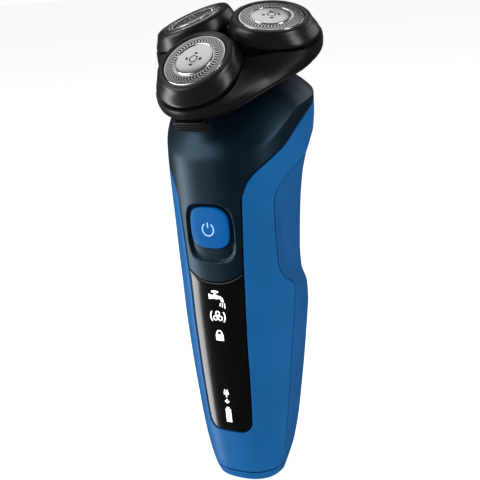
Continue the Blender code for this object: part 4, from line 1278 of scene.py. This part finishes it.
@dataclass
class Outline:
    """The head seen along its axis: three lobes, part filled, part drawn in between."""

    turns: tuple[float, ...] = (-90.0, 150.0, 30.0)

    def away(self, deg: Array) -> Array:
        """Degrees from the nearest pod's direction."""
        d = [np.abs((deg - t + 180) % 360 - 180) for t in self.turns]
        return np.minimum(np.minimum(d[0], d[1]), d[2])

    def ring(self, deg: Array, c: Array, rho: Array, full: Array, scoop: Array) -> Array:
        """Radius of the outline.

        Formula: full times the hull of three circles, plus the rest times the circles
        themselves, less scoop times an eased step in the angle from the nearest pod.
        """
        d = self.away(deg)
        t = np.radians(d)
        lobe = c * np.cos(t) + np.sqrt(np.maximum(0, rho * rho - (c * np.sin(t)) ** 2))
        side = (c / 2 + rho) / np.cos(math.pi / 3 - t)
        hull = np.where(t <= np.arctan2(rho * math.sin(math.pi / 3), c + rho / 2), lobe, side)
        return full * hull + (1 - full) * lobe - scoop * smooth(24, 60, d)


@dataclass
class Lid:
    """The head's upper shell: a lofted bowl with a stepped seat for each pod."""

    head: HeadFrame
    levels: tuple[tuple[float, ...], ...] = (
        (13.6, 13.8, 16.5, 0.95, 0.0), (12.6, 14.1, 16.8, 0.95, 0.3), (11.0, 14.5, 16.8, 0.95, 1.2),
        (9.0, 15.0, 16.4, 0.95, 2.8), (7.0, 15.4, 15.8, 0.9, 4.8), (5.6, 15.7, 15.0, 0.85, 6.2))
    seat: float = -5.75
    hole_r: float = 12.75
    seat_r: float = 16.4
    middle_r: float = 10.0
    roof: float = -9.4

    def loft(self) -> bpy.types.Object:
        """The bowl before its seats are cut, with a rolled lower edge and a fine groove."""
        table = np.array(self.levels)[::-1]
        c, rho, full, scoop = (Curve(tuple(zip(table[:, 0], table[:, k]))) for k in (1, 2, 3, 4))
        h = np.concatenate([13.6 - rim_steps(0.5), [13.02, 12.98, 12.93, 12.86, 12.79, 12.74, 12.7],
                            np.linspace(12.6, 5.6, 26)])[:, None]
        inset = rounding(13.6 - h, 0.5) + 0.28 * smooth(12.72, 12.78, h) * smooth(13.0, 12.94, h)
        deg = np.linspace(0, 360, 300, endpoint=False)
        r = Outline().ring(deg, c(h), rho(h), full(h), scoop(h)) - inset
        a = np.radians(deg)
        side = np.stack([r * np.cos(a), r * np.sin(a), -h + 0 * r], -1)
        ends = [side[:1] * (0.0, 0.0, 1.0), side, side[-1:] * (0.0, 0.0, 1.0)]
        return Solid().grid(self.head.place(np.concatenate(ends)), around=True).build("head_shell")

    def build(self) -> bpy.types.Object:
        """Cuts the seats, the middle and the hinge's flat, then rounds what is sharp."""
        shell = self.loft()
        s, low = self.seat, self.seat - 12
        seat = [(0, low), (self.hole_r, low), (self.hole_r, s), (self.seat_r, s),
                (self.seat_r, 20), (0, 20)]
        middle = [(0, -18), (self.middle_r, -18), (self.middle_r, self.roof), (0, self.roof)]
        tools = [turned_tool("seat_" + tag, seat, self.head.pod(turn))
                 for tag, turn in self.head.turns]
        tools.append(turned_tool("middle", middle, self.head.place))
        tools.append(flat_tool(self.head))
        cut(shell, tools)
        eased(shell, 0.28, 35)
        return dress(shell, Paint.HEAD, "lid", "black_plastic", "head_lid")


def flat_tool(head: HeadFrame) -> bpy.types.Object:
    """A block that takes off what stands behind the hinge's flat."""
    return block_tool(head.place, (-11.5, 11.5), (head.land, head.land + 12), (-20, 2))


def block_tool(place: Place, x: tuple[float, float], y: tuple[float, float],
               heights: tuple[float, float]) -> bpy.types.Object:
    """A plain block to cut with."""
    ring = np.array([(x[0], y[0]), (x[1], y[0]), (x[1], y[1]), (x[0], y[1])])
    rows = [np.concatenate([ring, np.full((4, 1), h)], 1) for h in heights]
    rows = [0 * rows[0] + rows[0].mean(0)] + rows + [0 * rows[1] + rows[1].mean(0)]
    return Solid().grid(place(np.stack(rows)), around=True).build("block_tool")


@dataclass
class Base:
    """The head's fixed plate, which the lid closes on to."""

    head: HeadFrame
    levels: tuple[tuple[float, ...], ...] = ((15.3, 13.0, 14.6, 0.95), (14.8, 13.2, 15.3, 0.95),
                                             (13.9, 13.5, 15.9, 0.95))
    shaft_r: float = 3.0
    roll: float = 0.2

    def build(self) -> bpy.types.Object:
        """A lofted plate, holed for the drive shaft, flat at the hinge, notched for the tab."""
        table = np.array(self.levels)[::-1]
        c, rho, full = (Curve(tuple(zip(table[:, 0], table[:, k]))) for k in (1, 2, 3))
        near, far = table[0, 0], table[-1, 0]
        h = np.linspace(far, near, 9)[:, None]
        deg = np.linspace(0, 360, 300, endpoint=False)
        r = Outline().ring(deg, c(h), rho(h), full(h), 0 * h) - rounding(h - near, self.roll)
        a = np.radians(deg)
        side = np.stack([r * np.cos(a), r * np.sin(a), -h + 0 * r], -1)
        hole = np.stack([self.shaft_r * np.cos(a), self.shaft_r * np.sin(a), 0 * a], -1)
        ends = [(hole + (0, 0, -far))[None], side, (hole + (0, 0, -near))[None]]
        plate = Solid().grid(self.head.place(np.concatenate(ends)), around=True,
                             closed=True).build("head_plate")
        notch = block_tool(self.head.place, (-5.7, 5.7), (-33.0, -27.9), (-17, -12))
        cut(plate, [flat_tool(self.head), notch])
        eased(plate, 0.12, 40)
        return dress(plate, Paint.HEAD, "handle", "black_plastic", "head_base")


@dataclass
class Extrusion:
    """A bar of one cross-section along the head's x axis, rounded at both ends."""

    place: Place
    outline: tuple[tuple[float, float], ...]
    corner: float = 0.3
    roll: float = 0.3

    def add(self, shape: Solid, x0: float, x1: float) -> Solid:
        """Adds the bar from x0 to x1.

        Formula: the rounded outline, drawn towards its middle near each end by the
        depth of a rounded edge.
        """
        loop = rounded_profile(self.outline, self.corner)
        centre = loop.mean(0)
        x = spaced(x1 - x0, 2, self.roll, self.roll)
        rim = np.minimum(x, x1 - x0 - x)
        away = loop - centre
        size = np.linalg.norm(away, axis=1, keepdims=True)
        inset = rounding(rim, self.roll)
        rings = centre + away[None] * (1 - inset[:, None, None] / size[None])
        body = np.concatenate([np.broadcast_to((x0 + x)[:, None, None], rings.shape[:2] + (1,)),
                               rings], -1)
        ends = [np.broadcast_to(body[k].mean(0), body[k].shape)[None] for k in (0, -1)]
        shape.grid(self.place(np.concatenate([ends[0], body, ends[1]])), around=True)
        return shape


@dataclass
class Hinge:
    """The rear hinge: one eye on the plate between two on the lid, and their pin."""

    head: HeadFrame
    v: float = 22.9
    h: float = -12.7
    eye: float = 1.7

    def _outline(self, feet: Sequence[tuple[float, float]]) -> tuple[tuple[float, float], ...]:
        """Half an eye, closed by the given feet."""
        a = np.linspace(-math.pi / 2, math.pi / 2, 15)[1:-1]
        eye = [(self.v + self.eye * math.cos(q), self.h + self.eye * math.sin(q)) for q in a]
        return tuple(eye + list(feet)[::-1])

    def build(self) -> None:
        """Makes the eyes; the pin stays as it is."""
        v, h, e = self.v, self.h, self.eye
        lid = self._outline([(v, h - e), (v - e, -13.6), (v - 3.6, -13.2),
                             (v - 3.6, h + e - 0.3), (v, h + e)])
        ears = Solid()
        for x in (-8.0, 8.0):
            Extrusion(self.head.place, lid, 0.12, 0.25).add(ears, x - 1.5, x + 1.5)
        dress(ears.build("hinge_ears"), Paint.HEAD, "lid", "black_plastic")
        mid = self._outline([(v, h - e), (v - e, -14.7), (v - 4.2, -14.7), (v - 4.2, -14.0),
                             (v - e, -14.0), (v - e, h + e - 0.5), (v - 0.6, h + e)])
        eye = Extrusion(self.head.place, mid, 0.12, 0.25).add(Solid(), -5.6, 5.6)
        dress(eye.build("hinge_eye"), Paint.HEAD, "handle", "black_plastic")


@dataclass
class Pod:
    """One shaving unit: its ring, its slotted guard and the barrel under it."""

    head: HeadFrame
    tag: str
    turn: float
    guard_r: float = 10.45
    slots: int = 48
    band: tuple[float, float] = (6.98, 9.98)

    def _ring(self) -> None:
        """The ring: grooves and ribs on top, a satin flank, and a barrel with windows."""
        lip = self.guard_r + 0.22
        top = [(lip, -2.3), (lip, -0.12), (lip + 0.12, 0.0), (lip + 0.5, 0.12), (lip + 0.72, 0.12),
               (lip + 0.78, 0.0), (lip + 0.92, 0.0), (lip + 0.98, 0.1), (lip + 1.3, 0.05),
               (lip + 1.36, -0.06), (lip + 1.5, -0.07), (lip + 1.56, 0.0), (12.55, -0.22),
               (12.95, -0.95), (13.35, -2.3), (13.72, -3.9), (13.9, -4.75), (13.75, -4.95),
               (12.0, -4.95), (12.0, -5.5), (12.0, -5.7), (12.0, -7.3), (12.0, -7.5), (12.0, -8.0),
               (11.3, -8.0), (11.3, -2.3)]
        profile = rounded_profile(top, 0.10, 3)
        rings = turned(profile, 320)
        a = np.linspace(0, 2 * math.pi, 320, endpoint=False)
        r, z = profile[:, :1], profile[:, 1:]
        out = 1 - smooth(40, 105, np.degrees(np.abs((a + math.pi) % (2 * math.pi) - math.pi)))
        rings[..., :2] *= 1 + (1.45 * out * smooth(-0.9, -4.6, z) * (r > 12.6) / r)[..., None]
        window = (np.cos(20 * a) > -0.25) * (np.abs(r - 12.0) < 0.02) * (z < -5.6) * (z > -7.4)
        rings[..., :2] *= 1 - 0.05 * window[..., None]
        place = self.head.pod(self.turn)
        shape = Solid().grid(place(rings), around=True, closed=True)
        for k in range(16):
            q = math.pi + math.radians(-42 + 5.4 * k)
            self._rib(shape, place, q, lip + 0.75, lip + 1.75, 0.20, 0.14)
        for q in (0.55, 0.72):
            self._rib(shape, place, q, lip + 1.05, lip + 1.3, 0.25, 0.16)
        dress(shape.build("pod_" + self.tag + "_ring"), Paint.POD, "pod_" + self.tag,
              "black_plastic", "pod_ring_" + self.tag)

    @staticmethod
    def _rib(shape: Solid, place: Place, turn: float, r0: float, r1: float,
             wide: float, high: float) -> None:
        """Adds a small radial rib with sloped sides on the ring's top."""
        out = np.array([math.cos(turn), math.sin(turn), 0])
        side = np.array([-math.sin(turn), math.cos(turn), 0])
        up = np.array([0, 0, 1.0])
        rows = []
        for lift, shrink in ((-0.25, 0.0), (high * 0.6, 0.0), (high, 0.05), (high, 0.12)):
            a, b, w = r0 + shrink, r1 - shrink, wide / 2 - shrink * 0.6
            rows.append([out * a - side * w + up * lift, out * b - side * w + up * lift,
                         out * b + side * w + up * lift, out * a + side * w + up * lift])
        rows = np.array(rows)
        rows = np.concatenate([0 * rows[:1] + rows[:1].mean(1, keepdims=True), rows,
                               0 * rows[-1:] + rows[-1:].mean(1, keepdims=True)])
        shape.grid(place(rows), around=True)

    def _guard(self) -> None:
        """The guard: a domed cap inside a band of fine curved slots.

        Formula: columns follow the slots, which lean and curl by twist(r); slot floors
        are 0.28 mm below the lands, and mark says where slots, nicks and the ring groove
        get the steel's painted shade, a near-black for the shade inside them.
        """
        g = self.guard_r
        low, high = self.band
        part = np.array([0.0, 0.04, 0.58, 0.62, 0.82])
        deep = np.array([0.0, 1.0, 1.0, 0.0, 0.0])
        base = ((np.arange(self.slots)[:, None] + part) / self.slots * 2 * math.pi).reshape(-1)
        slot = np.tile(deep, self.slots)
        profile = [(0.0, 0.60), (0.85, 0.60), (1.02, 0.60), (1.10, 0.52), (1.40, 0.52), (1.48, 0.60),
                   (1.8, 0.58), (1.95, 0.57), (2.08, 0.56), (2.75, 0.53), (2.88, 0.52), (3.4, 0.50),
                   (4.4, 0.44), (5.3, 0.37), (5.95, 0.30), (6.2, 0.24), (6.32, 0.12), (6.38, -0.05),
                   (6.62, -0.05), (6.70, 0.10), (6.85, 0.19), (low, 0.215), (low + 0.1, 0.215)]
        profile += [(r, 0.215 - 0.2 * (r - low) / (high - low)) for r in
                    np.linspace(low + 0.16, high - 0.16, 14)]
        profile += [(high - 0.1, 0.02), (high, 0.01), (10.12, 0.0), (10.3, -0.06), (10.4, -0.18),
                    (g, -0.35), (g, -2.7), (g + 0.5, -2.75), (g + 0.5, -3.3), (g - 0.85, -3.3),
                    (g - 0.85, -0.7), (7.0, -0.5), (2.0, -0.1), (0.0, -0.1)]
        rz = np.array(profile)
        r, z = rz[:, :1], rz[:, 1:]
        share = np.clip((r - low) / (high - low), 0, 1)
        twist = 0.34 * share - 0.20 * np.sin(math.pi * share)
        outside = np.arange(len(rz))[:, None] < len(rz) - 8
        inband = (r > low + 0.12) & (r < high - 0.12) & outside
        a = base + twist * outside
        near = np.abs((np.degrees(a) + 45) % 90 - 45) < 12
        nick = (r > 2.0) & (r < 2.8) & near & outside
        groove = (r > 1.05) & (r < 1.45) & outside
        # painted shade: slots, nicks and the ring groove are marked to be painted near-black, the
        # shade inside them
        slot_shade_mark = inband * slot + nick * 1.0 + groove * 0.8
        z = z - 0.34 * inband * slot - 0.12 * nick
        points = np.stack([r * np.cos(a), r * np.sin(a), z + 0 * a], -1)
        shape = Solid().grid(self.head.pod(self.turn)(points), around=True, mark=slot_shade_mark)
        dress(shape.build("guard_" + self.tag + "_foil", merge=0.0008), Paint.FOIL,
              "pod_" + self.tag, "guard_steel", "guard_" + self.tag)

    def build(self) -> None:
        """Makes the ring and the guard; the cutter below stays as it is."""
        self._ring()
        self._guard()


@dataclass
class Neck:
    """The dark seat in the collar's mouth that the head's plate stands on."""

    head: HeadFrame

    def build(self) -> bpy.types.Object:
        """A turned ring with two fine grooves round its side."""
        profile = [(2.6, -20.0), (12.1, -20.0), (12.1, -18.4), (11.8, -18.2), (12.1, -18.0),
                   (12.1, -17.4), (11.8, -17.2), (12.1, -17.0), (12.1, -15.9), (2.6, -15.9)]
        obj = turned_ring("neck_seat", profile, self.head.place, 0.15)
        return dress(obj, Paint.INNER, "handle", "black_plastic", "motor_frame")


@dataclass
class ReleaseTab:
    """The ribbed tab under the front pod."""

    head: HeadFrame
    front: float = -31.01
    half: float = 5.3
    ribs: tuple[tuple[float, float], ...] = (
        (0.0, -13.9), (-0.1, -14.5), (0.55, -14.7), (0.55, -14.9), (0.0, -15.1), (0.1, -15.6),
        (0.75, -15.8), (0.75, -16.0), (0.2, -16.2), (0.35, -16.7), (1.0, -16.9), (1.0, -17.1),
        (0.6, -17.3), (1.2, -18.1), (4.0, -18.1), (4.0, -15.7), (2.2, -15.7), (2.2, -13.9))
    stem: tuple[tuple[float, float], ...] = (
        (-27.6, -15.9), (-27.6, -17.2), (-13.4, -17.2), (-13.4, -15.9))

    def build(self) -> bpy.types.Object:
        """A bar of the ribbed outline, and the flat stem behind it."""
        ribs = tuple((self.front + v, h) for v, h in self.ribs)
        tab = Extrusion(self.head.place, ribs, 0.08, 0.6).add(Solid(), -self.half, self.half)
        Extrusion(self.head.place, self.stem, 0.2, 0.2).add(tab, -3.0, 3.0)
        return dress(tab.build("release_tab", crease=50), Paint.HEAD, "release_key",
                     "black_plastic", "release_button")


# ------------------------------------------------------------------ what stays as it is
@dataclass
class Inside:
    """CAD nodes whose shape is right: each gets its own finish."""

    finishes: tuple[tuple[str, Paint], ...] = (
        ("battery", Paint.CELL), ("main_board", Paint.BOARD), ("display_board", Paint.BOARD),
        ("switch_dome", Paint.SCREW), ("motor", Paint.MOTOR), ("charge_socket", Paint.INNER),
        ("charge_pin", Paint.PIN), ("foot_screw", Paint.SCREW), ("hinge_pin", Paint.SCREW),
        ("central_gear", Paint.GEAR), ("drive_gear", Paint.GEAR), ("drive_shaft", Paint.SCREW),
        ("spindle", Paint.SCREW), ("cutter", Paint.STEEL), ("retainer", Paint.GREY))

    def build(self, nodes: dict[str, bpy.types.Object]) -> None:
        """Puts each finish on the nodes whose names start with its key."""
        for start, paint in self.finishes:
            for name in sorted(n for n in nodes if n.startswith(start)):
                mesh = nodes[name].data
                mesh.materials.clear()
                mesh.materials.append(paint.material())
                LOG.info("%s keeps its shape", name)


# ------------------------------------------------------------------ studio
@dataclass
class Studio:
    """Pale floor, soft lights and the camera."""

    eye: tuple[float, float, float] = (0.18247, -0.29823, 0.17058)
    right: tuple[float, float, float] = (0.8596, 0.5071, -0.0639)
    up: tuple[float, float, float] = (-0.0713, 0.2427, 0.9676)
    lens: float = 80.62
    glow: float = 0.84
    ambient: float = 0.30
    mirrored: float = 0.05

    def camera(self) -> None:
        """The camera, from its place and its own x and y axes."""
        x = Vector(self.right).normalized()
        z = x.cross(Vector(self.up)).normalized()
        m = Matrix((x, z.cross(x), z)).transposed().to_4x4()
        m.translation = Vector(self.eye)
        data = bpy.data.cameras.new("camera")
        data.lens, data.sensor_width, data.clip_start = self.lens, 36.0, 0.01
        camera = bpy.data.objects.new("camera", data)
        bpy.context.scene.collection.objects.link(camera)
        camera.matrix_world = m
        bpy.context.scene.camera = camera

    def floor(self) -> None:
        """A wide pale floor."""
        shape = Solid()
        a = np.linspace(0, 2 * math.pi, 96, endpoint=False)
        r = np.array([0.0, 200.0, 600.0, 2500.0, 9000.0])[:, None]
        shape.grid(np.stack([r * np.cos(a), r * np.sin(a), 0 * r - 0.02 + 0 * a], -1), around=True)
        floor = shape.build("floor")
        t = Tree(bpy.data.materials.new("pale_floor"))
        tint = t.blend(t.noise(0.01), (0.86, 0.86, 0.865), (0.88, 0.88, 0.88))
        floor.data.materials.append(t.surface(Base_Color=tint, Roughness=0.6,
                                              Emission_Color=tint, Emission_Strength=self.glow))
        floor.visible_glossy = False
        floor.visible_shadow = False

    def sky(self) -> None:
        """White where it is seen, grey where it lights, and nearly dark in reflections."""
        world = bpy.data.worlds.new("studio")
        t = Tree(world, "ShaderNodeOutputWorld")
        rays = t.add("ShaderNodeLightPath").outputs
        level = t.mix(rays["Is Glossy Ray"], self.ambient, self.mirrored)
        seen = t.mix(rays["Is Camera Ray"], level, 1.0)
        back = t.add("ShaderNodeBackground", sockets={"Color": (1.0, 1.0, 1.0), "Strength": seen})
        t.links.new(back.outputs[0], t.output.inputs[0])
        bpy.context.scene.world = world

    def light(self, name: str, at: Sequence[float], to: Sequence[float],
              size: tuple[float, float], power: float) -> None:
        """A soft box at one point, aimed at another."""
        data = bpy.data.lights.new(name, "AREA")
        data.shape, data.size, data.size_y, data.energy = "ELLIPSE", *size, power
        lamp = bpy.data.objects.new(name, data)
        bpy.context.scene.collection.objects.link(lamp)
        lamp.location = Vector(at)
        lamp.rotation_euler = (Vector(at) - Vector(to)).to_track_quat("Z", "Y").to_euler()

    def build(self) -> None:
        """Sets the whole stage."""
        self.camera()
        self.floor()
        self.sky()
        bpy.context.scene.view_settings.view_transform = "Standard"
        middle = (0, 0, 0.08)
        self.light("key_box", (-0.75, -0.70, 0.65), middle, (0.8, 1.0), 5.5)
        self.light("side_box", (0.95, -0.15, 0.45), middle, (0.3, 0.9), 3.0)
        self.light("top_box", (-0.40, 0.28, 0.85), (0, 0, 0.15), (0.8, 0.8), 1.15)
        self.light("left_strip", (-0.62, -0.26, -0.10), (0, 0, 0.05), (0.26, 0.8), 3.0)
        self.light("back_box", (0.5, 0.9, 0.6), middle, (0.9, 0.6), 1.6)


def main() -> None:
    """Builds every piece in order."""
    logging.basicConfig(level=logging.INFO, format="%(message)s")
    Studio().build()
    skin, head = HandleSkin(), HeadFrame()
    front, key = Front(skin, head.place), Key(skin)
    Shell(skin).build()
    front.build()
    Display(skin, front).build()
    Grip(skin).build()
    key.build()
    Symbols(skin, key).build()
    Foot(skin).build()
    Neck(head).build()
    Lid(head).build()
    Base(head).build()
    Hinge(head).build()
    for tag, turn in head.turns:
        Pod(head, tag, turn).build()
    ReleaseTab(head).build()
    Inside().build(frame["nodes"])
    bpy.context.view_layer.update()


if __name__ == "__main__":
    main()
